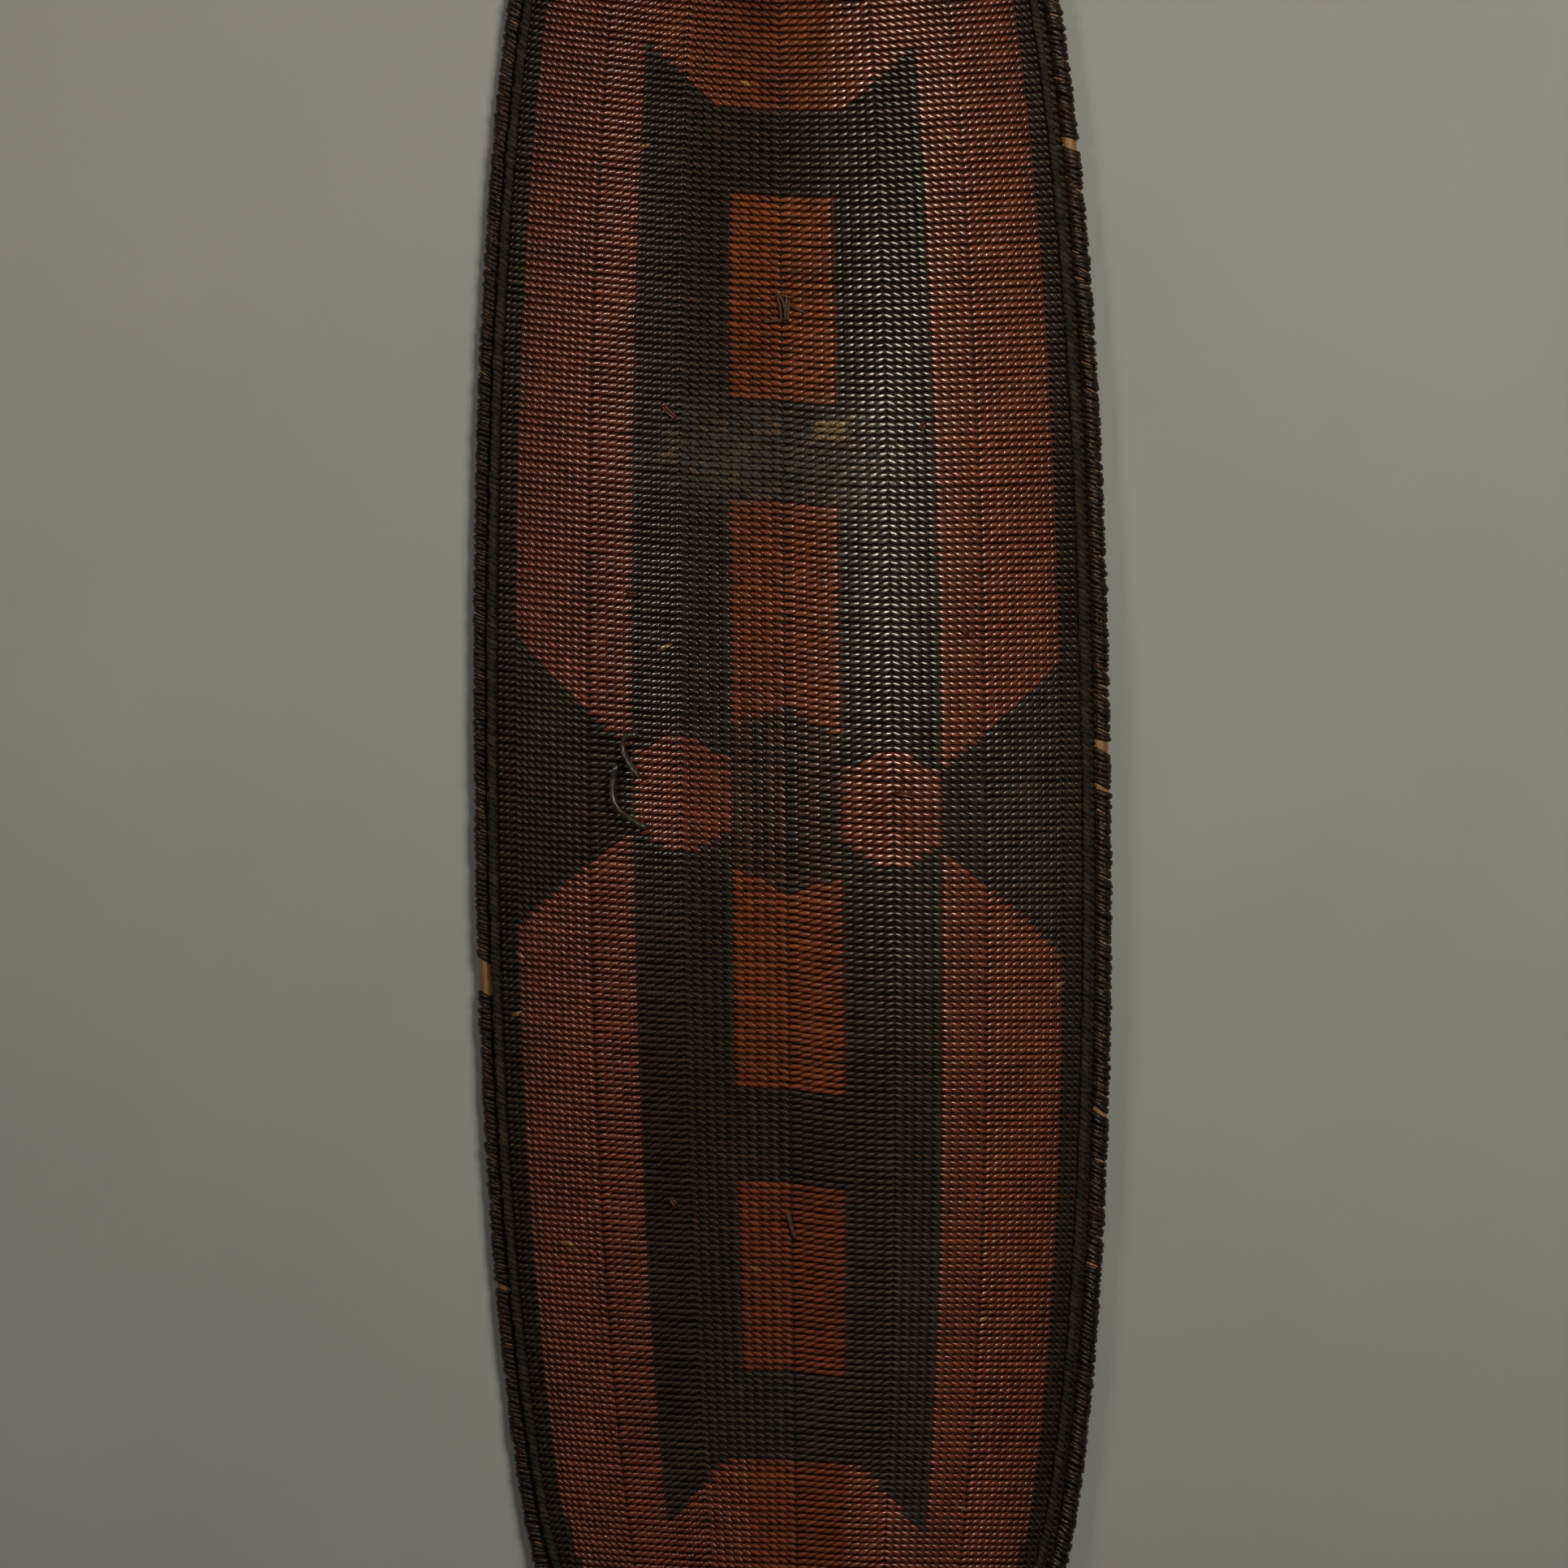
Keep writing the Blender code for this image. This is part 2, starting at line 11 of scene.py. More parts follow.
import bmesh
import bpy
import numpy as np
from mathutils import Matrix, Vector


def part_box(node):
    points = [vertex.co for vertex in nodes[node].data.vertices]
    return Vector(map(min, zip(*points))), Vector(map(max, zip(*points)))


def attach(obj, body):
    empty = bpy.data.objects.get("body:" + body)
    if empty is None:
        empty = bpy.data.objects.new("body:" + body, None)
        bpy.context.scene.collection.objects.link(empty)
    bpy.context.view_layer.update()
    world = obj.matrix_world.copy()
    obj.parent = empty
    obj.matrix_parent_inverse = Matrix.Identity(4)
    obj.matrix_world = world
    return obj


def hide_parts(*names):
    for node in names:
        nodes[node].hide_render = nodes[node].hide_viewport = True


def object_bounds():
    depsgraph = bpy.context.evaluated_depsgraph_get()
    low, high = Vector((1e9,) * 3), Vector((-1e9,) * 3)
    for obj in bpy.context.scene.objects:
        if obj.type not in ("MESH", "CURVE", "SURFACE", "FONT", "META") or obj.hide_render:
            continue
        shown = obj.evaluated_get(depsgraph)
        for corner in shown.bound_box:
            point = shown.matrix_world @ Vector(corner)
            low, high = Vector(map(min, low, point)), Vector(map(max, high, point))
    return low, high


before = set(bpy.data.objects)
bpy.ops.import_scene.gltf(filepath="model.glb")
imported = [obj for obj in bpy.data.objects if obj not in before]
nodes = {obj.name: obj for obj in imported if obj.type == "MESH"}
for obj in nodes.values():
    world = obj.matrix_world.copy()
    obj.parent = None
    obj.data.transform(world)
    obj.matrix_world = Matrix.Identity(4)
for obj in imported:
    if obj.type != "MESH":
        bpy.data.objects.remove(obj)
cad_low, cad_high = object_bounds()
print("loaded", len(nodes), "nodes, size", [round(v, 4) for v in cad_high - cad_low])

# %% [markdown]
# ## The form of the shield
# The sheet could be measured from the loaded mesh, but its rule is simple: a round bow across, a shallow
# bow along, and an outline of two long superellipse sides with elliptical ends. Written as functions,
# the rule gives a point and a normal anywhere, which every stitch needs.

# %% Sizes that the frame gives
panel_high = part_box("woven_panel")[1]
SHIELD_WIDTH = cad_high.x - cad_low.x
SHIELD_LENGTH = cad_high.y - cad_low.y
UPPER_SHARE = 0.650 / 1.237
UPPER_LENGTH = SHIELD_LENGTH * UPPER_SHARE
LOWER_LENGTH = SHIELD_LENGTH - UPPER_LENGTH
WIDEST_Y = cad_low.y + LOWER_LENGTH
PANEL_THICKNESS = 0.0055
CROWN = panel_high.z - PANEL_THICKNESS / 2
print("widest line at", round(WIDEST_Y, 4), "crown at", round(CROWN, 4))

# %% The sheet's middle layer as a function
FACE_RADIUS = 0.288
CROWN_FALL = 0.038


def half_length(y):
    """Length of the half of the shield that y lies in."""
    return np.where(np.asarray(y) >= WIDEST_Y, UPPER_LENGTH, LOWER_LENGTH)


def face_normal(x, y):
    """Unit vectors that point out of the face."""
    x, y = np.broadcast_arrays(np.asarray(x, float), np.asarray(y, float))
    rise_x = -x / np.sqrt(FACE_RADIUS**2 - x**2)
    rise_y = -2 * CROWN_FALL * (y - WIDEST_Y) / half_length(y) ** 2
    normal = np.stack([-rise_x, -rise_y, np.ones_like(x)], axis=-1)
    return normal / np.linalg.norm(normal, axis=-1, keepdims=True)


def surface(x, y, offset=0.0):
    """Points of the middle layer, moved by offset along the normal."""
    x, y = np.broadcast_arrays(np.asarray(x, float), np.asarray(y, float))
    across = FACE_RADIUS - np.sqrt(FACE_RADIUS**2 - x**2)
    along = CROWN_FALL * ((y - WIDEST_Y) / half_length(y)) ** 2
    point = np.stack([x, y, CROWN - across - along], axis=-1)
    return point + face_normal(x, y) * np.asarray(offset)[..., None]


print("crown point", surface(0.0, WIDEST_Y))

# %% The outline as a function
SIDE_POWER = 4.6
LENGTH_POWER = 2.15
CAP_START = 0.71


def side_width(share):
    """Half width of the long side at a share of the half length."""
    return SHIELD_WIDTH / 2 * (1 - np.minimum(share, 0.999) ** LENGTH_POWER) ** (1 / SIDE_POWER)


def quarter_outline(length, steps=600):
    """(half width, distance from the widest line) from the widest line to the tip of one half."""
    share = np.linspace(0, CAP_START, steps)
    width = side_width(share)
    inside = 1 - CAP_START**LENGTH_POWER
    slope = -width[-1] * LENGTH_POWER * CAP_START ** (LENGTH_POWER - 1) / (length * SIDE_POWER * inside)
    ratio = -slope * length * (1 - CAP_START) / width[-1]
    sine = ratio / (1 - ratio)
    angle = np.linspace(math.asin(sine), math.pi / 2, steps)[1:]
    cap_width = width[-1] / math.sqrt(1 - sine**2)
    cap_length = length * (1 - CAP_START) / (1 - sine)
    cap_along = length - cap_length * (1 - np.sin(angle))
    return np.append(width, cap_width * np.cos(angle)), np.append(share * length, cap_along)


def closed_outline():
    """The whole outer outline, anticlockwise from the widest point on the right."""
    upper_width, upper_along = quarter_outline(UPPER_LENGTH)
    lower_width, lower_along = quarter_outline(LOWER_LENGTH)
    upper = np.stack([upper_width, WIDEST_Y + upper_along], axis=1)
    lower = np.stack([lower_width, WIDEST_Y - lower_along], axis=1)
    mirror = np.array([-1.0, 1.0])
    return np.concatenate([upper, (upper * mirror)[-2::-1], (lower * mirror)[1:], lower[-2:0:-1]])


outline = closed_outline()
print("outline of", len(outline), "points, half width", round(outline[:, 0].max(), 4))

# %% The rim rod's centre line
ROD_RADIUS = 0.0048
BINDING_RADIUS = 0.0064
GAP = 0.0003

ahead = np.roll(outline, -1, axis=0) - np.roll(outline, 1, axis=0)
outward = np.stack([ahead[:, 1], -ahead[:, 0]], axis=1)
outward /= np.linalg.norm(outward, axis=1, keepdims=True)
rod_plan = outline - outward * BINDING_RADIUS
rod_line = surface(rod_plan[:, 0], rod_plan[:, 1])
print("rod line is", round(float(np.linalg.norm(np.diff(rod_line, axis=0), axis=1).sum()), 3), "m long")


def inset_line(distance):
    """Plan points that lie distance inwards from the rod's centre, measured along the sheet."""
    normal = face_normal(rod_plan[:, 0], rod_plan[:, 1])
    rise = (normal[:, :2] * outward).sum(axis=1) / normal[:, 2]
    step = np.broadcast_to(distance, rise.shape) / np.sqrt(1 + rise**2)
    return rod_plan - outward * step[:, None]


panel_edge = inset_line(BINDING_RADIUS + GAP)
right_side = panel_edge[panel_edge[:, 0] > -1e-6]
right_side = right_side[np.argsort(right_side[:, 1])]


def edge_half_width(y):
    """Half width of the sheet itself at y."""
    return np.interp(y, right_side[:, 1], right_side[:, 0], left=0.0, right=0.0)


print("sheet is", round(2 * float(edge_half_width(WIDEST_Y)), 4), "m wide")

# %% [markdown]
# ## Camera, floor and light
# The shield lies face up and the camera looks straight down on it, turned a little to its right side,
# as the photograph does. Its field is narrower than the shield is long, so both ends leave the picture.
# A long lens keeps the sides parallel. One soft lamp from the upper left shapes the stitches. Two at the
# upper right glint on their backs and draw the sheen down the black band beside the middle, and a weak one
# from below keeps the lower half readable. One big lamp would be simpler, but it would wipe out the glints.

# %% Camera
PICTURE_WIDTH = 0.904
CAMERA_DISTANCE = 6.0
LOOK_AT = Vector((-0.0029, -0.0229, 0.040))
YAW = math.radians(3.0)
LEAN = math.radians(0.65)


def add_object(name, data):
    """A new object in the scene that carries the data."""
    made = bpy.data.objects.new(name, data)
    bpy.context.scene.collection.objects.link(made)
    return made


camera_data = bpy.data.cameras.new("camera")
camera_data.sensor_width = 36.0
camera_data.lens = camera_data.sensor_width * CAMERA_DISTANCE / PICTURE_WIDTH
camera = add_object("camera", camera_data)
towards = Vector((math.sin(YAW), 0.0, math.cos(YAW)))
camera.location = LOOK_AT + towards * CAMERA_DISTANCE
camera.rotation_euler = (0.0, YAW, 0.0)
camera.rotation_euler.rotate_axis("Z", -LEAN)
camera_data.clip_end = 20.0
bpy.context.scene.camera = camera
print("lens", round(camera_data.lens, 1), "mm")

# %% Floor and lamps
FLOOR_SIZE = 8.0
ROOM_COLOUR = (0.92, 0.90, 0.86, 1.0)
ROOM_GLOW = 0.05
# Each lamp: name, place, the point that it looks at, size, power in watts and colour
LAMPS = (
    ("left", (-1.40, 0.90, 1.46), (0.0, 0.0, 0.0), (0.42, 0.42), 12.0, (1.0, 0.91, 0.80)),
    ("top", (0.62, 1.05, 1.80), (0.0, 0.05, 0.0), (0.36, 0.30), 13.0, (1.0, 0.92, 0.76)),
    ("sheen", (0.84, 0.48, 1.70), (0.05, 0.15, 0.0), (0.44, 0.56), 17.0, (1.0, 0.95, 0.79)),
    ("fill", (0.3, -1.9, 1.6), (0.0, 0.0, 0.0), (1.6, 0.8), 0.8, (1.0, 0.96, 0.90)),
)


def area_lamp(name, place, aim, size, energy, colour):
    """A soft lamp at a place, turned to a point."""
    data = bpy.data.lights.new(name, "AREA")
    data.shape = "RECTANGLE"
    data.size, data.size_y = size
    data.energy = energy
    data.color = colour
    lamp = add_object(name, data)
    lamp.location = place
    lamp.rotation_euler = (Vector(aim) - Vector(place)).to_track_quat("-Z", "Y").to_euler()


floor_mesh = bpy.data.meshes.new("floor")
half = FLOOR_SIZE / 2
corners = [(-half, -half, 0), (half, -half, 0), (half, half, 0), (-half, half, 0)]
floor_mesh.from_pydata(corners, [], [(0, 1, 2, 3)])
floor = add_object("floor", floor_mesh)

for lamp in LAMPS:
    area_lamp(*lamp)

world = bpy.data.worlds.new("studio")
world.use_nodes = True
room = world.node_tree.nodes["Background"]
room.inputs["Color"].default_value = ROOM_COLOUR
room.inputs["Strength"].default_value = ROOM_GLOW
bpy.context.scene.world = world
bpy.context.scene.view_settings.view_transform = "Standard"

# %% [markdown]
# ## Helpers for node trees
# Both shaders and Geometry Nodes are trees of nodes. They could be drawn by hand in the editor, but in a
# script they need short helpers: these add a node with its settings, join sockets, declare a tree's named
# inputs, and give the sums, blends, noises and attributes that most trees use.

# %% Tree helpers


def add_node(tree, kind, **settings):
    """A new node with its properties set."""
    node = tree.nodes.new(kind)
    for name, value in settings.items():
        setattr(node, name, value)
    return node


def plug(tree, target, source):
    """Join a source socket to a target, or set a plain value on it."""
    if isinstance(source, bpy.types.NodeSocket):
        tree.links.new(source, target)
    else:
        target.default_value = source


def tree_input(tree, name, kind, default=None, low=None, high=None):
    """A named input of a tree."""
    socket = tree.interface.new_socket(name, in_out="INPUT", socket_type=kind)
    if default is not None:
        socket.default_value = default
    if low is not None:
        socket.min_value, socket.max_value = low, high
    return socket


def maths(tree, operation, first, second=0.0, clamp=False):
    """Output of a Math node."""
    node = add_node(tree, "ShaderNodeMath", operation=operation, use_clamp=clamp)
    plug(tree, node.inputs[0], first)
    plug(tree, node.inputs[1], second)
    return node.outputs[0]


def blend_colour(tree, factor, first, second, mode="MIX"):
    """Output of a colour Mix node."""
    node = add_node(tree, "ShaderNodeMix", data_type="RGBA", blend_type=mode, clamp_factor=True)
    plug(tree, node.inputs[0], factor)
    plug(tree, node.inputs[6], first)
    plug(tree, node.inputs[7], second)
    return node.outputs[2]


def remap(tree, value, low, high, new_low=0.0, new_high=1.0):
    """Output of a clamped Map Range node."""
    node = add_node(tree, "ShaderNodeMapRange", clamp=True)
    for socket, item in zip(node.inputs, (value, low, high, new_low, new_high)):
        plug(tree, socket, item)
    return node.outputs[0]


def noise(tree, vector, scale, detail=3.0, roughness=0.55):
    """Value output of a noise texture."""
    node = add_node(tree, "ShaderNodeTexNoise")
    for name, value in (("Vector", vector), ("Scale", scale), ("Detail", detail), ("Roughness", roughness)):
        plug(tree, node.inputs[name], value)
    return node.outputs["Fac"]


def attribute(tree, name, output="Fac"):
    """A named attribute of the mesh."""
    return add_node(tree, "ShaderNodeAttribute", attribute_name=name).outputs[output]


def object_place(tree):
    """Object coordinates, in metres."""
    return add_node(tree, "ShaderNodeTexCoord").outputs["Object"]


print("tree helpers ready")

# %% [markdown]
# ## Effects that several finishes share
# Split cane, palm fibre, wood and hide all show long streaks, and all of them have been rubbed by hands
# and have dust in their hollows. Each effect is one group, so that its look is tuned in one place.
# A painted map could do the same, but noise on real coordinates has no seams and no fixed sharpness.

# %% Group: streaks along a strand


def streak_group():
    """Fine lines along X of the given coordinates."""
    tree = bpy.data.node_groups.new("streaks along a strand", "ShaderNodeTree")
    tree_input(tree, "Place", "NodeSocketVector")
    tree_input(tree, "Fineness", "NodeSocketFloat", 1500.0)
    tree_input(tree, "Stretch", "NodeSocketFloat", 0.12)
    tree.interface.new_socket("Streak", in_out="OUTPUT", socket_type="NodeSocketFloat")
    inside = add_node(tree, "NodeGroupInput")
    outside = add_node(tree, "NodeGroupOutput")
    axes = add_node(tree, "ShaderNodeCombineXYZ")
    plug(tree, axes.inputs["X"], inside.outputs["Stretch"])
    axes.inputs["Y"].default_value = 1.0
    axes.inputs["Z"].default_value = 1.0
    squeeze = add_node(tree, "ShaderNodeVectorMath", operation="MULTIPLY")
    plug(tree, squeeze.inputs[0], inside.outputs["Place"])
    plug(tree, squeeze.inputs[1], axes.outputs[0])
    value = noise(tree, squeeze.outputs[0], inside.outputs["Fineness"], 2.0)
    plug(tree, outside.inputs["Streak"], remap(tree, value, 0.3, 0.7))
    return tree


STREAKS = streak_group()
print("group", STREAKS.name)

# %% Group: rubbing and dust


def age_group():
    """Large soft patches of rubbing, and smaller patches of dust."""
    tree = bpy.data.node_groups.new("rubbing and dust", "ShaderNodeTree")
    tree_input(tree, "Patch scale", "NodeSocketFloat", 14.0)
    tree_input(tree, "Dust scale", "NodeSocketFloat", 90.0)
    for name in ("Rubbed", "Dusty"):
        tree.interface.new_socket(name, in_out="OUTPUT", socket_type="NodeSocketFloat")
    inside = add_node(tree, "NodeGroupInput")
    outside = add_node(tree, "NodeGroupOutput")
    place = object_place(tree)
    rubbed = noise(tree, place, inside.outputs["Patch scale"], 4.0, 0.6)
    dusty = noise(tree, place, inside.outputs["Dust scale"], 5.0, 0.7)
    plug(tree, outside.inputs["Rubbed"], remap(tree, rubbed, 0.38, 0.66))
    plug(tree, outside.inputs["Dusty"], remap(tree, dusty, 0.52, 0.74))
    return tree


AGE = age_group()
print("group", AGE.name)


def use_group(tree, group, **values):
    """Place a group in a tree with its own values."""
    node = add_node(tree, "ShaderNodeGroup", node_tree=group)
    for name, value in values.items():
        plug(tree, node.inputs[name.replace("_", " ")], value)
    return node


def new_material(name):
    """An empty Principled material with its tree and shader."""
    material = bpy.data.materials.new(name)
    material.use_nodes = True
    return material, material.node_tree, material.node_tree.nodes["Principled BSDF"]


def bump(tree, shader, height, distance, strength=1.0):
    """Feed a height to the shader's normal."""
    node = add_node(tree, "ShaderNodeBump")
    node.inputs["Strength"].default_value = strength
    node.inputs["Distance"].default_value = distance
    plug(tree, node.inputs["Height"], height)
    plug(tree, shader.inputs["Normal"], node.outputs[0])


# %% [markdown]
# ## Finish of the weave
# The stitches were dyed before weaving: red-brown, or a greenish black. Hands have polished their backs
# and dye has rubbed off to straw in places. Their backs are lightened with a painted highlight, and the
# hollows between them are darkened with painted shade. Each stitch carries its own values as attributes:
# which dye, how warm, how rubbed, how polished, how flat, and how high a point lies on its back. The polish
# is a clear coat on the backs alone. A lower roughness all over would be simpler, but then the hollows
# would shine as well and the weave would look wet.

# %% Material: twined fibre
RED_DEEP = (0.105, 0.0205, 0.0056, 1.0)
RED_WARM = (0.142, 0.0280, 0.0032, 1.0)
BLACK_DYE = (0.0138, 0.0086, 0.0046, 1.0)
BLACK_WORN = (0.024, 0.020, 0.014, 1.0)
# Grey of the scuffed, flattened stitches: partly worn fibre, partly a painted sheen.
SCUFF_AND_SHEEN_GREY = (0.052, 0.048, 0.038, 1.0)
STRAW = (0.26, 0.135, 0.048, 1.0)
# A dark brown for the streaks along the strands, and for the painted shade in the hollows.
STREAK_AND_SHADE_DARK = (0.006, 0.004, 0.003, 1.0)
STITCH_CONTRAST = 0.22
STREAK_DEPTH = 0.4
# By height on a stitch, from where to where, and from which value to which
# The first lightens the back of every stitch and darkens its lower part: a painted highlight and painted
# shade.
CREST_PAINTED_LIGHT = (0.60, 1.02, 0.75, 1.40)
# The second darkens the hollows between stitches: painted shade.
HOLLOW_PAINTED_SHADE = (0.10, 0.66, 1.0, 0.0)
POLISHED_BACK = (0.45, 0.85)
BACK_ROUGHNESS, HOLLOW_ROUGHNESS = 0.46, 0.80
COAT_ROUGHNESS, COAT_IOR = 0.22, 1.80


def weave_material():
    """Dyed stitches with polish and a painted highlight on their backs, and painted shade between them."""
    material, tree, shader = new_material("twined_fibre")
    dye, warm = attribute(tree, "dye"), attribute(tree, "warm")
    rub, tone = attribute(tree, "rub"), attribute(tree, "tone")
    crown, flat = attribute(tree, "crown"), attribute(tree, "flat")
    strand = attribute(tree, "strand", "Vector")
    streak = use_group(tree, STREAKS, Place=strand, Fineness=3.2, Stretch=0.16)
    age = use_group(tree, AGE, Patch_scale=9.0, Dust_scale=70.0)
    red = blend_colour(tree, warm, RED_DEEP, RED_WARM)
    handled = maths(tree, "MULTIPLY", age.outputs["Rubbed"], 0.6)
    black = blend_colour(tree, handled, BLACK_DYE, BLACK_WORN)
    colour = blend_colour(tree, dye, red, black)
    # Painted highlight on the back of each stitch, painted shade on its lower part.
    painted_crest_light = remap(tree, crown, *CREST_PAINTED_LIGHT)
    hollow = remap(tree, crown, *HOLLOW_PAINTED_SHADE)
    uneven = maths(tree, "ADD", maths(tree, "MULTIPLY", tone, STITCH_CONTRAST), attribute(tree, "brightness_and_sheen"))
    shade = add_node(tree, "ShaderNodeHueSaturation")
    plug(tree, shade.inputs["Value"], maths(tree, "MULTIPLY", painted_crest_light, uneven))
    plug(tree, shade.inputs["Color"], colour)
    lines = maths(tree, "MULTIPLY", streak.outputs[0], STREAK_DEPTH)
    streaked = blend_colour(tree, lines, shade.outputs[0], STREAK_AND_SHADE_DARK)
    # Grey speckles on flattened stitches, partly scuffs and partly a painted sheen.
    speckle = remap(tree, noise(tree, object_place(tree), 900.0, 4.0, 0.65), 0.42, 0.60)
    scuff_and_sheen_mask = maths(tree, "MULTIPLY", flat, speckle)
    scuffed_and_sheen = blend_colour(tree, scuff_and_sheen_mask, streaked, SCUFF_AND_SHEEN_GREY)
    fleck = remap(tree, noise(tree, object_place(tree), 1300.0, 3.0), 0.60, 0.44)
    threshold = maths(tree, "MULTIPLY", rub, maths(tree, "SUBTRACT", 1.35, fleck), True)
    worn = blend_colour(tree, remap(tree, threshold, 0.25, 0.6), scuffed_and_sheen, STRAW)
    # Painted shade in the hollows between stitches.
    painted_hollow_shade = blend_colour(tree, maths(tree, "MULTIPLY", hollow, 0.75), worn, STREAK_AND_SHADE_DARK)
    plug(tree, shader.inputs["Base Color"], painted_hollow_shade)
    rough = maths(tree, "ADD", hollow, maths(tree, "MULTIPLY", age.outputs["Dusty"], 0.5))
    roughness = remap(tree, rough, 0.0, 1.0, BACK_ROUGHNESS, HOLLOW_ROUGHNESS)
    plug(tree, shader.inputs["Roughness"], roughness)
    shader.inputs["Specular IOR Level"].default_value = 0.22
    chipped = maths(tree, "MULTIPLY", flat, maths(tree, "SUBTRACT", 1.0, speckle))
    broken = maths(tree, "SUBTRACT", 1.0, chipped)
    gloss = maths(tree, "MULTIPLY", attribute(tree, "polish"), remap(tree, crown, *POLISHED_BACK))
    plug(tree, shader.inputs["Coat Weight"], maths(tree, "MULTIPLY", gloss, broken, True))
    shader.inputs["Coat Roughness"].default_value = COAT_ROUGHNESS
    shader.inputs["Coat IOR"].default_value = COAT_IOR
    bump(tree, shader, maths(tree, "ADD", lines, scuff_and_sheen_mask), 0.00030, 0.6)
    return material


WEAVE = weave_material()
print("material", WEAVE.name)

# %% [markdown]
# ## The rule of the weave
# Every stitch has a warp number across and a row along. Warps stand closer together towards the sides,
# and they fan in with the outline. Rows are not level: they sink to the right, and towards the upper end
# both of their sides curl up, because the maker's hands pulled them so. A table of stitches would be a
# long list, so the place comes from short rules instead.

# %% Warps and rows
WARPS_ON_LEFT, WARPS_ON_RIGHT = 34, 35
SIDE_SHIFT = 0.0017
ROW_PITCH_UPPER = 0.00407
ROW_PITCH_LOWER = 0.00380
PITCH_CHANGE = -0.10
ROW_UNEVENNESS = 0.035
ROW_MARGIN = 0.012
WAVE_SEED = 11
EDGE_WARP = 30
WARP_STEP, WARP_CLOSING = 0.0345, 0.000155
FAN_FALL = 0.60


def warp_share(warp):
    """Share of the arc from the seam to the edge at which a warp stands."""
    size = np.abs(warp)
    return np.sign(warp) * size * (WARP_STEP - WARP_CLOSING * size)


def fan_width(y):
    """Half width that the warps fan with. It narrows less than the round ends do."""
    share = np.abs(y - WIDEST_Y) / half_length(y)
    start = side_width(CAP_START)
    beyond = start * (1 - FAN_FALL * (share - CAP_START))
    outer = np.where(share < CAP_START, side_width(np.minimum(share, CAP_START)), beyond)
    return outer - (SHIELD_WIDTH / 2 - edge_half_width(WIDEST_Y))


def row_heights():
    """Height of each row over the widest line at the seam, from the upper end down."""
    rng = np.random.default_rng(WAVE_SEED)
    heights = [UPPER_LENGTH + ROW_MARGIN]
    while heights[-1] > -LOWER_LENGTH - ROW_MARGIN:
        pitch = ROW_PITCH_UPPER if heights[-1] > PITCH_CHANGE else ROW_PITCH_LOWER
        heights.append(heights[-1] - pitch * (1 + rng.normal(0.0, ROW_UNEVENNESS)))
    return np.array(heights)


ROWS = row_heights()
print("rows", len(ROWS), "warps", WARPS_ON_LEFT + WARPS_ON_RIGHT)

# %% How a row sinks and curls
# Level is 0 on the widest line and 1 at LEVEL_REACH above it. Each row of numbers belongs to its powers.
LEVEL_REACH, LEVEL_LIMIT = 0.41, 1.2
LEFT_RISE = (0.0127, 0.00585)
LEFT_CURL = 1.15
RIGHT_FALL = (0.0051, -0.00705, -0.00555)
HUMP_LEAST, HUMP_MORE = 0.0015, 0.0039
HUMP_WARP = 11


def row_drop(warp, height):
    """How far a row sinks below its height at the seam, as it runs across."""
    level = np.clip(height / LEVEL_REACH, -LEVEL_LIMIT, LEVEL_LIMIT)
    left = -(LEFT_RISE[0] + LEFT_RISE[1] * level)
    right = RIGHT_FALL[0] + RIGHT_FALL[1] * level + RIGHT_FALL[2] * level**2
    hump = HUMP_LEAST + HUMP_MORE * (1 - np.minimum(level**2, 1.0))
    side = np.abs(warp) / EDGE_WARP
    peak = np.maximum(warp, 0.0) / HUMP_WARP
    return np.where(warp < 0, left * side**LEFT_CURL, right * side + hump * peak * np.exp(1 - peak))


print("rows sink by", round(float(row_drop(EDGE_WARP, 0.0)), 4), "m on the right of the widest line")

# %% Places on the weave


def weave_place(warp, height):
    """Plan place of a point that is given by its warp number and its row's height at the seam."""
    y = WIDEST_Y + height - row_drop(warp, height)
    fan = FACE_RADIUS * np.arcsin(fan_width(y) / FACE_RADIUS)
    arc = warp_share(warp) * fan - SIDE_SHIFT * (warp / EDGE_WARP) ** 2
    return FACE_RADIUS * np.sin(arc / FACE_RADIUS), y


x, y = weave_place(np.array([5.0, 15.0, 30.0]), np.array([0.13, 0.13, 0.13]))
print("warps 5, 15 and 30 stand at", np.round(x, 4))

# %% [markdown]
# ## The dyed pattern
# The pattern is made of whole stitches, so it is a rule on warps and rows: black borders, red side bands
# cut by black wedges, a black ladder with red fields between its rungs, two red hexagons and one black
# one on the widest line. Slanted edges step from stitch to stitch, as they do on the real one.

# %% Pattern sizes
BAND_INNER, BAND_OUTER, BORDER = 5, 15, EDGE_WARP
RUNGS = ((0.3454, 0.3969), (0.1718, 0.2303), (-0.2186, -0.1675), (-0.3791, -0.3281))
HORN_TOP, HORN_FOOT = 0.429, -0.421
HORN_START = 6.5
WEDGE_AT_BAND, WEDGE_AT_BORDER = 0.024, 0.084
HEXAGON_HALF, HEXAGON_SIDE = 0.036, 0.021
HEXAGON_WARP = 10
MIDDLE_HALF, MIDDLE_FALL = 0.054, 0.0028
CAP_BORDER = 0.016


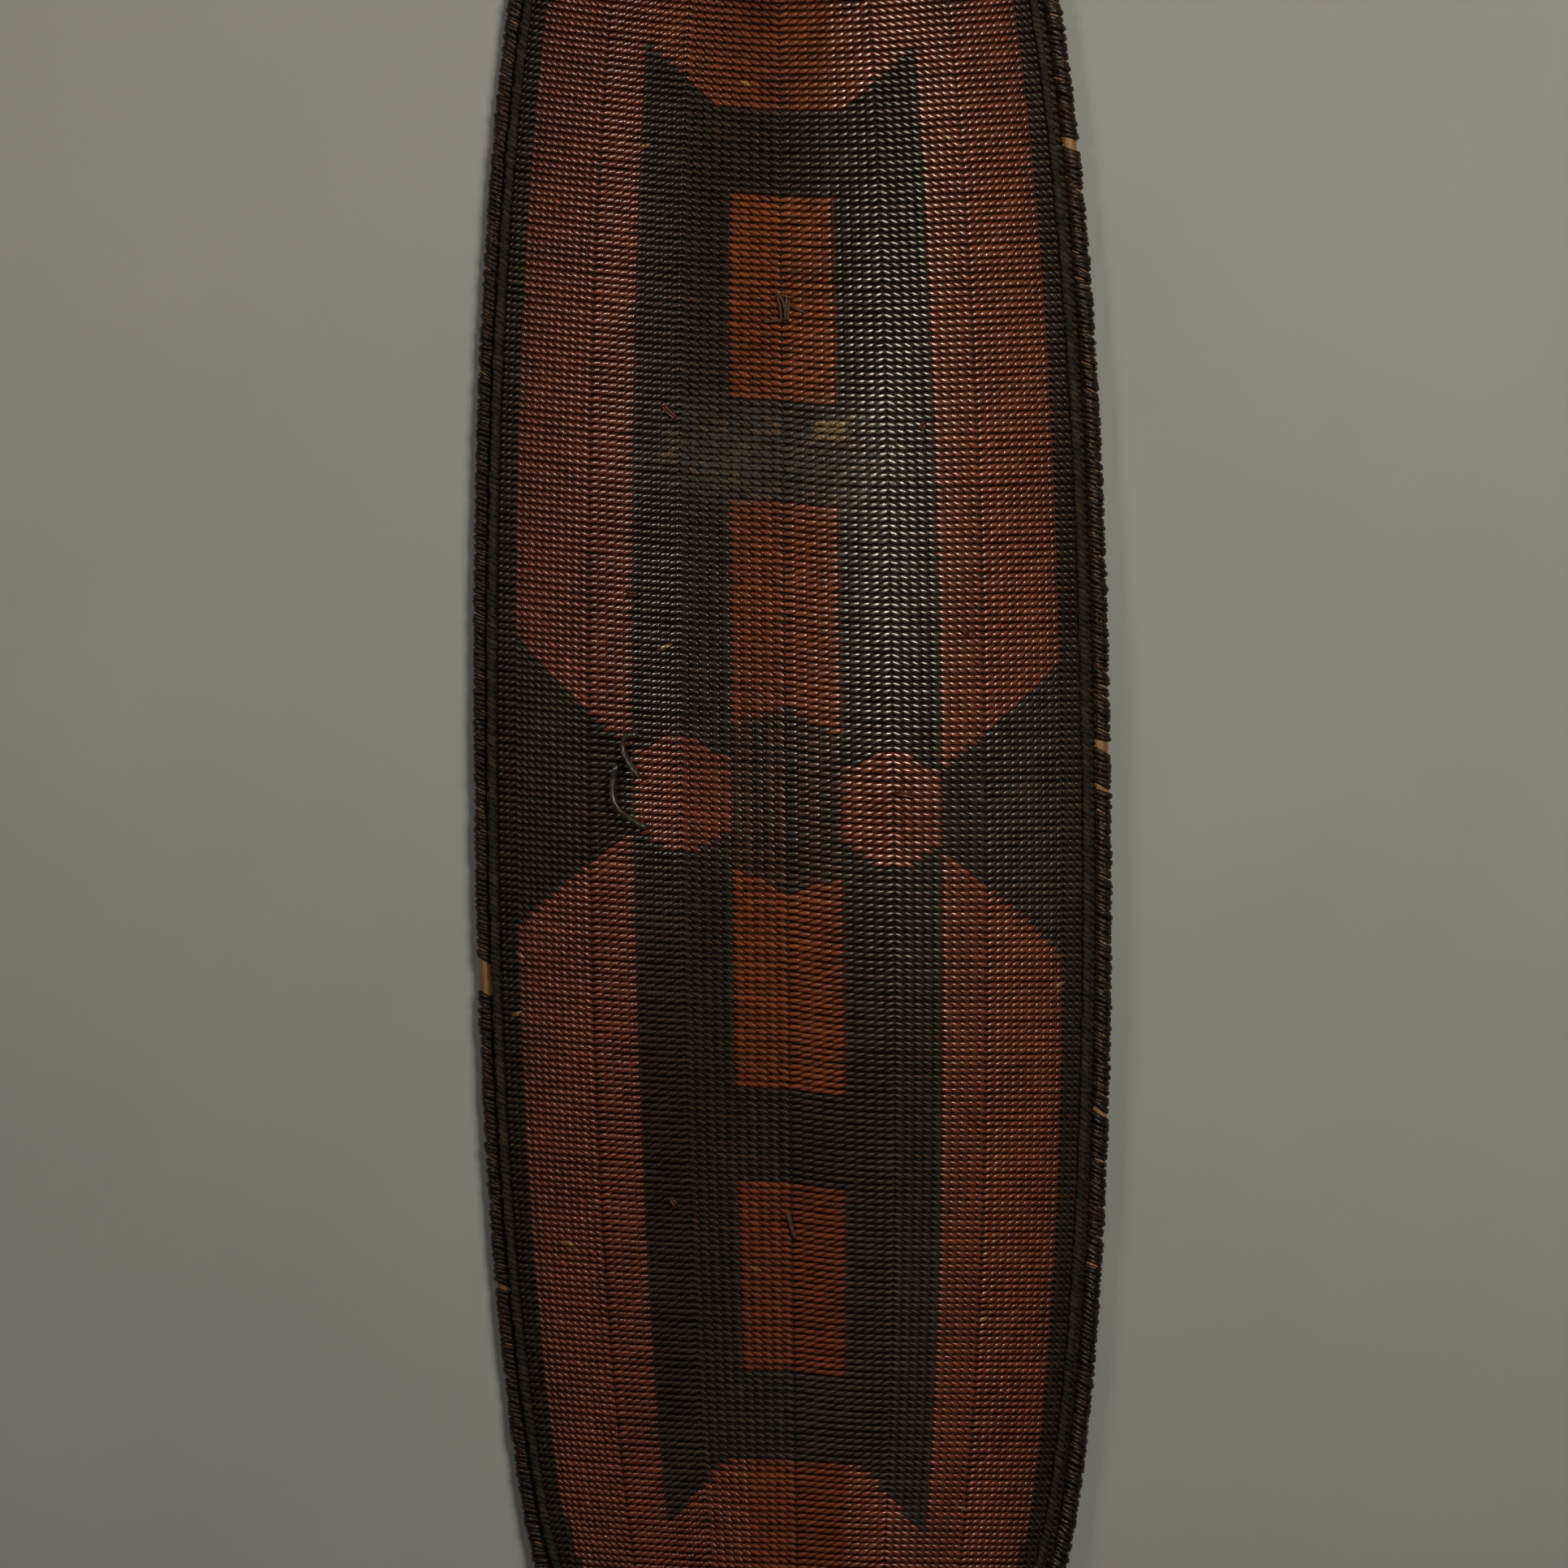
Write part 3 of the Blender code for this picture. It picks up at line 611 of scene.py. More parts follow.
def is_black(warp, height, x, y):
    """Which stitches are dyed black."""
    size = np.abs(warp)
    border = size > BORDER
    share = np.abs(y - WIDEST_Y) / half_length(y)
    end_gap = (1 - share) * half_length(y) - 2 * BINDING_RADIUS
    rim_gap = np.minimum(edge_half_width(y) - np.abs(x), end_gap)
    border |= (share > CAP_START) & (rim_gap < CAP_BORDER)
    climb = np.clip((size - HORN_START) / (BAND_OUTER - HORN_START), 0, 1)
    top = RUNGS[0][1] + (HORN_TOP - RUNGS[0][1]) * climb
    foot = RUNGS[3][0] + (HORN_FOOT - RUNGS[3][0]) * climb
    ladder = (size < BAND_OUTER) & (height < top) & (height > foot)
    rung = np.zeros_like(border)
    for low, high in RUNGS:
        rung |= (height > low) & (height < high)
    outside = (height > RUNGS[0][0]) | (height < RUNGS[3][1])
    middle = np.abs(height) < MIDDLE_HALF - MIDDLE_FALL * size
    fields = (size < BAND_INNER) & ~rung & ~middle & ~outside
    aside = np.abs(size - HEXAGON_WARP) / (BAND_OUTER - HEXAGON_WARP)
    hexagon = HEXAGON_HALF - (HEXAGON_HALF - HEXAGON_SIDE) * aside
    in_hexagon = (size > BAND_INNER) & (size < BAND_OUTER) & (np.abs(height) < hexagon)
    reach = (size - BAND_OUTER) / (BORDER - BAND_OUTER)
    wedge_half = WEDGE_AT_BAND + (WEDGE_AT_BORDER - WEDGE_AT_BAND) * reach
    wedge = (size >= BAND_OUTER) & (np.abs(height) < wedge_half)
    return border | wedge | (ladder & ~fields & ~in_hexagon)


print("pattern rungs at", RUNGS)

# %% [markdown]
# ## Stitches
# A row is a two-strand rope, and a stitch is the stretch of one strand that shows between two warps. It
# leans over its row, rises out from under one neighbour and lies on the next. It is modelled once for
# each lean with few faces and smooth shading, because there are some twenty thousand of them. Geometry
# Nodes then lay one on each crossing. A bump map alone would look flat at the edges of the shield.

# %% Stitch shapes


def closed_mesh(bm, name):
    """A smooth mesh from a bmesh, with its normals turned outwards."""
    bmesh.ops.recalc_face_normals(bm, faces=bm.faces)
    mesh = bpy.data.meshes.new(name)
    bm.to_mesh(mesh)
    bm.free()
    mesh.shade_smooth()
    return mesh


def stitch_rise(distance):
    """Height of a strand at a distance from its ridge."""
    return max(LEAST_RISE, 1 - 0.95 * (abs(distance) / STRAND_HALF) ** 2.3)


def stitch_object(name, lean, stations, lines):
    """A closed stitch in units of warp gap, row pitch and height, with its own attributes."""
    bm = bmesh.new()
    grid = []
    climb = math.copysign(RIDGE_CLIMB, lean)
    for along in stations:
        row = []
        for side, swell in lines:
            rise = stitch_rise(along - climb * side) * swell
            row.append(bm.verts.new((side + lean * along, along, rise)))
        grid.append(row)
    for low, high in zip(grid, grid[1:]):
        for k in range(len(lines) - 1):
            bm.faces.new((low[k], low[k + 1], high[k + 1], high[k]))
    right, left = [row[-1] for row in grid], [row[0] for row in grid]
    bm.faces.new(right[:-1] + grid[-1][:0:-1] + left[:0:-1] + grid[0][:-1])
    mesh = closed_mesh(bm, name)
    crown = mesh.attributes.new("crown", "FLOAT", "POINT")
    strand = mesh.attributes.new("strand", "FLOAT_VECTOR", "POINT")
    slope = math.copysign(STREAK_SLOPE, lean)
    for i, vert in enumerate(mesh.vertices):
        crown.data[i].value = max(vert.co.z, 0.0)
        strand.data[i].vector = (vert.co.x + slope * vert.co.y, vert.co.y - slope * vert.co.x, vert.co.z)
    stitch = add_object(name, mesh)
    stitch.hide_render = True
    return stitch


STITCH_LEAN = 0.62
RIDGE_CLIMB = 0.35
LEAST_RISE, STRAND_HALF = 0.10, 0.62
STREAK_SLOPE = 0.6
FACE_STATIONS = (-0.54, -0.20, 0.20, 0.54)
FACE_LINES = ((-0.58, 0.62), (-0.20, 1.0), (0.20, 1.04), (0.58, 0.66))
BACK_STATIONS = (-0.54, 0.0, 0.54)
BACK_LINES = ((-0.56, 0.55), (0.0, 1.0), (0.56, 0.55))
stitch_rising = stitch_object("stitch_rising", STITCH_LEAN, FACE_STATIONS, FACE_LINES)
stitch_falling = stitch_object("stitch_falling", -STITCH_LEAN, FACE_STATIONS, FACE_LINES)
back_rising = stitch_object("back_rising", STITCH_LEAN, BACK_STATIONS, BACK_LINES)
back_falling = stitch_object("back_falling", -STITCH_LEAN, BACK_STATIONS, BACK_LINES)
print("faces in a stitch", len(stitch_rising.data.polygons), "on the face")
print("faces in a stitch", len(back_rising.data.polygons), "on the back")

# %% The tree that lays stitches on crossings


def random_between(tree, inside, offset, low=-1.0, high=1.0):
    """A random number for each point, drawn with the tree's own seed."""
    node = add_node(tree, "FunctionNodeRandomValue", data_type="FLOAT")
    plug(tree, node.inputs[2], low)
    plug(tree, node.inputs[3], high)
    plug(tree, node.inputs["Seed"], maths(tree, "ADD", inside.outputs["Seed"], offset))
    return node.outputs[1]


def store_tone(tree, inside, points, offset):
    """Give every point a random tone, which the finish reads."""
    toned = add_node(tree, "GeometryNodeStoreNamedAttribute", data_type="FLOAT", domain="POINT")
    toned.inputs["Name"].default_value = "tone"
    plug(tree, toned.inputs["Geometry"], points)
    plug(tree, toned.inputs["Value"], random_between(tree, inside, offset))
    return toned.outputs[0]


def stand_on(tree, points, wanted, shape_socket, rotation, scale):
    """Stand an object on the wanted points."""
    shape = add_node(tree, "GeometryNodeObjectInfo")
    plug(tree, shape.inputs["Object"], shape_socket)
    stand = add_node(tree, "GeometryNodeInstanceOnPoints")
    for name, value in (
        ("Points", points), ("Selection", wanted), ("Instance", shape.outputs["Geometry"]),
        ("Rotation", rotation), ("Scale", scale),
    ):
        plug(tree, stand.inputs[name], value)
    return stand.outputs[0]


def end_tree(tree, inside, instances):
    """Make the instances real, give them the finish and hand the result out."""
    real = add_node(tree, "GeometryNodeRealizeInstances")
    plug(tree, real.inputs[0], instances)
    painted = add_node(tree, "GeometryNodeSetMaterial")
    plug(tree, painted.inputs["Geometry"], real.outputs[0])
    plug(tree, painted.inputs["Material"], inside.outputs["Finish"])
    plug(tree, add_node(tree, "NodeGroupOutput").inputs[0], painted.outputs[0])


def stitch_tree():
    """Lay a leaning stitch on every point, turned and sized by the point's attributes."""
    tree = bpy.data.node_groups.new("lay stitches on crossings", "GeometryNodeTree")
    tree.interface.new_socket("Geometry", in_out="OUTPUT", socket_type="NodeSocketGeometry")
    tree_input(tree, "Crossings", "NodeSocketGeometry")
    tree_input(tree, "Rising stitch", "NodeSocketObject")
    tree_input(tree, "Falling stitch", "NodeSocketObject")
    tree_input(tree, "Uneven size", "NodeSocketFloat", 0.08, 0.0, 1.0)
    tree_input(tree, "Uneven turn", "NodeSocketFloat", 0.10, 0.0, 1.0)
    tree_input(tree, "Seed", "NodeSocketInt", 3)
    tree_input(tree, "Finish", "NodeSocketMaterial")
    inside = add_node(tree, "NodeGroupInput")

    def named(name, kind):
        node = add_node(tree, "GeometryNodeInputNamedAttribute", data_type=kind)
        node.inputs["Name"].default_value = name
        return node.outputs["Attribute"]

    axes = add_node(tree, "FunctionNodeAxesToRotation", primary_axis="Z", secondary_axis="X")
    plug(tree, axes.inputs["Primary Axis"], named("normal", "FLOAT_VECTOR"))
    plug(tree, axes.inputs["Secondary Axis"], named("across", "FLOAT_VECTOR"))
    twist = add_node(tree, "FunctionNodeAxisAngleToRotation")
    twist.inputs["Axis"].default_value = (0.0, 0.0, 1.0)
    swing = maths(tree, "MULTIPLY", random_between(tree, inside, 1.0), inside.outputs["Uneven turn"])
    plug(tree, twist.inputs["Angle"], swing)
    turned = add_node(tree, "FunctionNodeRotateRotation", rotation_space="LOCAL")
    plug(tree, turned.inputs[0], axes.outputs[0])
    plug(tree, turned.inputs[1], twist.outputs[0])
    swell = maths(tree, "MULTIPLY", random_between(tree, inside, 2.0), inside.outputs["Uneven size"])
    sized = add_node(tree, "ShaderNodeVectorMath", operation="SCALE")
    plug(tree, sized.inputs[0], named("size", "FLOAT_VECTOR"))
    plug(tree, sized.inputs["Scale"], maths(tree, "ADD", swell, 1.0))

    points = store_tone(tree, inside, inside.outputs["Crossings"], 3.0)
    joined = add_node(tree, "GeometryNodeJoinGeometry")
    rising = named("rising", "BOOLEAN")
    falling = add_node(tree, "FunctionNodeBooleanMath", operation="NOT")
    plug(tree, falling.inputs[0], rising)
    for wanted, stitch in ((rising, "Rising stitch"), (falling.outputs[0], "Falling stitch")):
        stood = stand_on(tree, points, wanted, inside.outputs[stitch], turned.outputs[0], sized.outputs[0])
        plug(tree, joined.inputs[0], stood)
    end_tree(tree, inside, joined.outputs[0])
    return tree


STITCH_TREE = stitch_tree()
print("tree", STITCH_TREE.name, "with", len(STITCH_TREE.nodes), "nodes")

# %% Run a tree and keep its result


def run_tree(source, tree, values, name):
    """Give source the tree with its values, and keep the evaluated result as a plain mesh object."""
    modifier = source.modifiers.new("tree", "NODES")
    modifier.node_group = tree
    for item in tree.interface.items_tree:
        if item.item_type == "SOCKET" and item.in_out == "INPUT" and item.name in values:
            modifier[item.identifier] = values[item.name]
    source.update_tag()
    bpy.context.view_layer.update()
    evaluated = source.evaluated_get(bpy.context.evaluated_depsgraph_get())
    mesh = bpy.data.meshes.new_from_object(evaluated)
    mesh.name = name
    source.modifiers.remove(modifier)
    bpy.data.objects.remove(source, do_unlink=True)
    return add_object(name, mesh)


def triangles(obj):
    """Number of triangles of a mesh object."""
    return sum(len(face.vertices) - 2 for face in obj.data.polygons)


inputs = [item.name for item in STITCH_TREE.interface.items_tree if item.in_out == "INPUT"]
print("inputs of the tree", inputs)

# %% Soft spots of wear, tone and painted sheen
# Each spot: warp and height of its middle, reach across, reach along and strength
POLISHED_SPOTS = (
    (9.5, 0.150, 5.0, 0.17, 0.95), (-9.5, 0.080, 5.5, 0.09, 0.85), (0.0, 0.090, 6.0, 0.09, 0.45),
    (18.0, 0.230, 5.0, 0.20, 0.45), (24.0, 0.150, 9.0, 0.25, 0.60), (-1.0, 0.010, 7.0, 0.05, 0.55),
    (-24.0, 0.200, 9.0, 0.20, 0.25), (-9.5, 0.0, 5.0, 0.03, 0.65), (10.0, 0.0, 5.0, 0.03, -0.75),
    (0.0, 0.520, 30.0, 0.10, -0.30), (0.0, -0.320, 60.0, 0.24, -0.22),
)
FLATTENED_SPOTS = (
    (-1.0, 0.200, 12.0, 0.023, 0.85), (9.0, 0.190, 4.0, 0.060, 0.75), (11.0, 0.110, 3.0, 0.040, 0.45),
    (-6.0, 0.185, 6.0, 0.020, 0.40),
)
# Spots that lighten or darken the dye. The one at warp 10 and height 0.15 lightens the black band where the
# sheen falls: a painted sheen. The two at warp 10 on the widest line make the left hexagon lighter and the
# right one darker.
TONE_AND_SHEEN_SPOTS = (
    (0.0, 0.530, 30.0, 0.11, -0.28), (-24.0, 0.0, 8.0, 0.06, 0.40), (24.0, 0.0, 8.0, 0.06, 0.30),
    (10.0, 0.150, 4.0, 0.14, 0.30), (-10.0, 0.0, 4.0, 0.02, 0.25), (10.0, 0.0, 4.0, 0.02, -0.25),
    (0.0, 0.285, 4.5, 0.07, -0.14), (25.0, 0.100, 8.0, 0.30, 0.08),
)


def spots(table, warp, height):
    """Sum of the soft spots of a table."""
    total = np.zeros_like(warp)
    for centre, level, reach, span, gain in table:
        total += gain * np.exp(-(((warp - centre) / reach) ** 2) - ((height - level) / span) ** 2)
    return total


print("spots", len(POLISHED_SPOTS), "polished", len(FLATTENED_SPOTS), "flattened", len(TONE_AND_SHEEN_SPOTS), "stained")

# %% Rubbed, polished, flattened and stained
FLECK_CHANCE, FLECK_AMOUNT = 0.0007, 0.62
WORN_RUNG_LOW, WORN_RUNG_HIGH, WORN_RUNG_WARP = 0.170, 0.226, 12
WORN_RUNG_CHANCE, WORN_RUNG_AMOUNT = 0.30, 0.20
BARE_PATCH_WARP, BARE_PATCH_HEIGHT, BARE_PATCH_AMOUNT = 4.5, 0.214, 0.50
BLACK_POLISH, FIELD_POLISH, BAND_POLISH = 0.14, 0.22, 0.68
POLISH_RISE, POLISH_UNEVENNESS = 0.08, 0.22
MOST_FLAT, FLAT_UNEVENNESS = 0.95, 0.25
ROW_CONTRAST = 0.07
BROAD_STAIN, NARROW_STAIN = 0.10, 0.06


def rubbed_amount(warp, height, rng):
    """How far the dye of each stitch has rubbed off to straw, from 0 to 1."""
    chance = rng.random(warp.shape)
    rub = np.where(chance < FLECK_CHANCE, FLECK_AMOUNT, 0.0)
    rung = (height > WORN_RUNG_LOW) & (height < WORN_RUNG_HIGH) & (np.abs(warp) < WORN_RUNG_WARP)
    rub = np.where(rung & (chance < WORN_RUNG_CHANCE), WORN_RUNG_AMOUNT + 0.5 * chance, rub)
    patch = (np.abs(warp - BARE_PATCH_WARP) < 1.6) & (np.abs(height - BARE_PATCH_HEIGHT) < 0.006)
    return np.where(patch, BARE_PATCH_AMOUNT, rub)


def polish_amount(warp, height, black, rng):
    """How well hands have polished each stitch, from 0 to 1."""
    middle = np.abs(warp) < BAND_INNER
    polish = np.where(black, BLACK_POLISH, np.where(middle, FIELD_POLISH, BAND_POLISH))
    polish = polish + POLISH_RISE * np.clip(height / 0.4, -1, 1)
    polish = polish + spots(POLISHED_SPOTS, warp, height)
    return np.clip(polish * (1 + rng.normal(0.0, POLISH_UNEVENNESS, warp.shape)), 0.0, 1.0)


def flattened_amount(warp, height, rng):
    """How far each stitch has been pressed flat and scuffed, from 0 to MOST_FLAT."""
    flat = spots(FLATTENED_SPOTS, warp, height)
    return np.clip(flat * (1 + rng.normal(0.0, FLAT_UNEVENNESS, warp.shape)), 0.0, MOST_FLAT)


def brightness_and_sheen_amount(warp, height, row_seed):
    """Brightness of the dye: it changes from row to row and in broad and narrow stains."""
    rng = np.random.default_rng(row_seed)
    rows, index = np.unique(height, return_inverse=True)
    by_row = rng.normal(0.0, ROW_CONTRAST, len(rows))[index.reshape(height.shape)]
    broad = BROAD_STAIN * np.sin(warp * 0.31 + 9 * height) * np.sin(23 * height + 0.17 * warp)
    narrow = NARROW_STAIN * np.sin(61 * height - warp * 0.5)
    # The spots add broad light and dark patches, among them a painted sheen on the black band right of the
    # middle.
    return np.clip(1.0 + by_row + (broad + narrow) + spots(TONE_AND_SHEEN_SPOTS, warp, height), 0.5, 1.7)


print("a stitch in", round(1 / FLECK_CHANCE), "has lost its dye")

# %% Which dye, and how warm
FIELD_HEIGHTS = (-0.33, -0.22, -0.16, 0.06, 0.17, 0.23)
FIELD_WARMTH = (0.25, 0.30, 0.60, 0.45, 0.50, 1.0)
RIGHT_WARMTH, LEFT_WARMTH, TOP_WARMTH, FOOT_WARMTH = 0.36, 0.12, 0.5, 0.32
BLACK_STRENGTH = 0.97
EDGE_STAIN, EDGE_STAIN_START, EDGE_STAIN_WARPS = 0.45, 2.5, 3.0
MIDDLE_DYE, MIDDLE_STRIPS = 0.82, 0.13
DYE_UNEVENNESS = 0.03


def dye_warmth(warp, height):
    """How warm the red is: it differs between the fields, the side bands and the two ends."""
    field = np.interp(height, FIELD_HEIGHTS, FIELD_WARMTH)
    band = np.where(warp > 0, RIGHT_WARMTH, LEFT_WARMTH)
    warm = np.where(np.abs(warp) < BAND_INNER, field, band)
    warm = np.where((height > RUNGS[0][1]) & (np.abs(warp) < BAND_OUTER), TOP_WARMTH, warm)
    return np.where(height < RUNGS[3][0], FOOT_WARMTH, warm)


def dye_strength(warp, height, black, rng):
    """How black each stitch is, from 0 to 1. Black has stained the reds near the border."""
    edge = np.clip((np.abs(warp) - BORDER + EDGE_STAIN_START) / EDGE_STAIN_WARPS, 0, 1)
    dye = np.where(black, BLACK_STRENGTH, EDGE_STAIN * edge)
    in_middle = black & (np.abs(warp) < BAND_INNER) & (np.abs(height) < MIDDLE_HALF)
    dye = np.where(in_middle, MIDDLE_DYE + MIDDLE_STRIPS * np.sin(warp * 2.1), dye)
    return np.clip(dye + rng.normal(0.0, DYE_UNEVENNESS, warp.shape), 0, 1)


print("reds are warmed by", LEFT_WARMTH, "on the left and", RIGHT_WARMTH, "on the right")

# %% Crossings as points with attributes
STITCH_HEIGHT = 0.0017
STITCH_FOOT = PANEL_THICKNESS / 2 - STITCH_HEIGHT
PRESSED_SHARE = 0.62
SLANT_CHANGE = 10
FLECK_SEED = 5
EDGE_ALLOWANCE = 0.0012
HALF_STEP = 0.002


def crossings(rows, side):
    """Points, one for each stitch of these rows, with everything that a stitch needs to know."""
    warps = np.arange(-WARPS_ON_LEFT, WARPS_ON_RIGHT) + 0.5
    warp, height = np.meshgrid(warps, rows)
    x, y = weave_place(warp, height)
    inside = np.abs(x) < edge_half_width(y) + EDGE_ALLOWANCE
    warp, height, x, y = warp[inside], height[inside], x[inside], y[inside]
    left, right = weave_place(warp - 0.5, height), weave_place(warp + 0.5, height)
    upper, lower = weave_place(warp, height + HALF_STEP), weave_place(warp, height - HALF_STEP)
    across = surface(*right) - surface(*left)
    along = surface(*upper) - surface(*lower)
    pitch = np.where(height > PITCH_CHANGE, ROW_PITCH_UPPER, ROW_PITCH_LOWER)
    gap = np.linalg.norm(across, axis=1)
    row_gap = pitch * np.linalg.norm(along, axis=1) / (2 * HALF_STEP)
    black = is_black(warp, height, x, y)
    zone = np.floor(np.abs(warp) / SLANT_CHANGE)
    rising = ((zone % 2 == 0) == (warp > 0)) == (side > 0)
    rng = np.random.default_rng(FLECK_SEED + int(1000 * abs(rows[0])))
    dye = dye_strength(warp, height, black, rng)
    rub = flat = np.zeros_like(warp)
    if side > 0:
        rub = rubbed_amount(warp, height, rng)
        flat = flattened_amount(warp, height, rng)
    swell = STITCH_HEIGHT * (1 - PRESSED_SHARE * flat)
    return {
        "place": surface(x, y, side * STITCH_FOOT), "normal": face_normal(x, y) * side, "across": across,
        "size": np.stack([gap, row_gap, swell], axis=1), "flat": flat, "rising": rising,
        "dye": dye, "warm": dye_warmth(warp, height), "rub": rub,
        "polish": polish_amount(warp, height, black, rng),
        "brightness_and_sheen": brightness_and_sheen_amount(warp, height, FLECK_SEED + len(rows)),
    }


def points_object(values):
    """A mesh of loose points that carries the values as attributes."""
    place = values["place"]
    mesh = bpy.data.meshes.new("crossings")
    mesh.vertices.add(len(place))
    mesh.vertices.foreach_set("co", place.astype(np.float32).ravel())
    for name, value in values.items():
        if name == "place":
            continue
        kind, key = ("FLOAT_VECTOR", "vector") if value.ndim == 2 else ("FLOAT", "value")
        if value.dtype == bool:
            kind = "BOOLEAN"
        plain = value if kind == "BOOLEAN" else value.astype(np.float32)
        mesh.attributes.new(name, kind, "POINT").data.foreach_set(key, plain.ravel())
    return add_object("crossings", mesh)


middle = len(ROWS) // 2
print("the middle row has", len(crossings(ROWS[middle : middle + 1], 1)["dye"]), "stitches")

# %% [markdown]
# ## The woven sheet
# The face could be one mesh, but half a million triangles are slow to handle, so it is cut into four bands
# of rows and the back into two. The cut follows the rows, so it falls in a dark line and can't be seen.

# %% Weave the face and the back
woven = []
shapes = {1: (stitch_rising, stitch_falling), -1: (back_rising, back_falling)}
for side, title, parts in ((1, "weave_face", 4), (-1, "weave_back", 2)):
    rising_shape, falling_shape = shapes[side]
    for number, rows in enumerate(np.array_split(ROWS, parts), start=1):
        values = {
            "Rising stitch": rising_shape, "Falling stitch": falling_shape,
            "Seed": 10 * number + side, "Finish": WEAVE,
        }
        piece = run_tree(points_object(crossings(rows, side)), STITCH_TREE, values, f"{title}_{number}")
        woven.append(piece)
        print(piece.name, "has", triangles(piece), "triangles")
for shape in (stitch_rising, stitch_falling, back_rising, back_falling):
    bpy.data.objects.remove(shape, do_unlink=True)

# %% [markdown]
# ## The warps between the stitches
# Under the stitches lie the stiff warps, dark and hardly seen. They could be sixty-nine thin rods, but one
# thin closed sheet stands for them. It keeps light from passing through and fills the hollows with brown.

# %% Core sheet
CORE_HALF = 0.0011
CORE_MARGIN = 0.0004
CORE_COLUMNS = 12
CORE_ROWS = 70


def core_sheet():
    """A thin closed sheet that ends at the rim."""
    foot, top = right_side[0, 1] + CORE_MARGIN, right_side[-1, 1] - CORE_MARGIN
    middle, swing = (foot + top) / 2, (top - foot) / 2
    ys = middle + swing * np.sin(np.linspace(-math.pi / 2, math.pi / 2, CORE_ROWS))
    columns = np.linspace(-1, 1, CORE_COLUMNS + 1)
    bm = bmesh.new()
    layers = []
    for offset in (CORE_HALF, -CORE_HALF):
        layer = []
        for y in ys:
            points = surface(edge_half_width(y) * columns, y, offset)
            layer.append([bm.verts.new(point) for point in points])
        layers.append(layer)
    top, under = layers
    for i in range(CORE_ROWS - 1):
        for k in range(CORE_COLUMNS):
            bm.faces.new((top[i][k], top[i][k + 1], top[i + 1][k + 1], top[i + 1][k]))
            bm.faces.new((under[i][k + 1], under[i][k], under[i + 1][k], under[i + 1][k + 1]))
        for k in (0, CORE_COLUMNS):
            bm.faces.new((top[i][k], top[i + 1][k], under[i + 1][k], under[i][k]))
    for i in (0, CORE_ROWS - 1):
        for k in range(CORE_COLUMNS):
            bm.faces.new((top[i][k], top[i][k + 1], under[i][k + 1], under[i][k]))
    return add_object("weave_core", closed_mesh(bm, "weave_core"))


WARP_DARK = (0.012, 0.008, 0.005, 1.0)
WARP_LIGHT = (0.035, 0.020, 0.010, 1.0)


def core_material():
    """Dull brown warps."""
    material, tree, shader = new_material("warp_fibre")
    age = use_group(tree, AGE, Patch_scale=30.0, Dust_scale=400.0)
    colour = blend_colour(tree, age.outputs["Dusty"], WARP_DARK, WARP_LIGHT)
    plug(tree, shader.inputs["Base Color"], colour)
    shader.inputs["Roughness"].default_value = 0.85
    bump(tree, shader, age.outputs["Dusty"], 0.0003)
    return material


core = core_sheet()
core.data.materials.append(core_material())
woven.append(core)
print("core has", triangles(core), "triangles")

# %% [markdown]
# ## The rim
# A rod is bent round the sheet and wrapped tightly with split cane, turn beside turn. In a few places
# the cane is gone and the tan wood shows. Each turn is the same small ring, so Geometry Nodes stand one
# on every step of the rod's centre line, each a little different in size and tilt.

# %% Materials of the rim
CANE_DUST = (0.060, 0.036, 0.016, 1.0)
CANE_DARK, CANE_LIGHT = (0.0045, 0.0024, 0.0014, 1.0), (0.026, 0.0085, 0.0036, 1.0)
FIBRE_DARK, FIBRE_LIGHT = (0.006, 0.0042, 0.0022, 1.0), (0.030, 0.022, 0.010, 1.0)
ROD_DARK, ROD_LIGHT = (0.12, 0.050, 0.016, 1.0), (0.30, 0.145, 0.048, 1.0)
GRAIN_STRETCH = 0.08


def cane_material(name, dark, light, roughness, streak_scale):
    """Split cane or fibre with streaks round its turns, polish, dust, and painted shade between its turns."""
    material, tree, shader = new_material(name)
    age = use_group(tree, AGE, Patch_scale=26.0, Dust_scale=260.0)
    tone = attribute(tree, "tone")
    streak = use_group(tree, STREAKS, Place=object_place(tree), Fineness=streak_scale, Stretch=0.5)
    lines = maths(tree, "MULTIPLY", streak.outputs[0], 0.5)
    mixed = maths(tree, "ADD", maths(tree, "MULTIPLY", tone, 0.45), lines, True)
    colour = blend_colour(tree, mixed, dark, light)
    dusty = blend_colour(tree, maths(tree, "MULTIPLY", age.outputs["Dusty"], 0.25), colour, CANE_DUST)
    # The foot of each turn is darkened with painted shade, and so is the edge cord's core, which shows only
    # between turns.
    hollow = remap(tree, attribute(tree, "crown"), 0.0, 0.7, 1.0, 0.0)
    painted_hollow_shade = blend_colour(tree, maths(tree, "MULTIPLY", hollow, 0.85), dusty, STREAK_AND_SHADE_DARK)
    plug(tree, shader.inputs["Base Color"], painted_hollow_shade)
    polished = remap(tree, age.outputs["Rubbed"], 0.0, 1.0, roughness + 0.12, roughness)
    plug(tree, shader.inputs["Roughness"], polished)
    shader.inputs["Specular IOR Level"].default_value = 0.30
    bump(tree, shader, streak.outputs[0], 0.0004, 0.8)
    return material


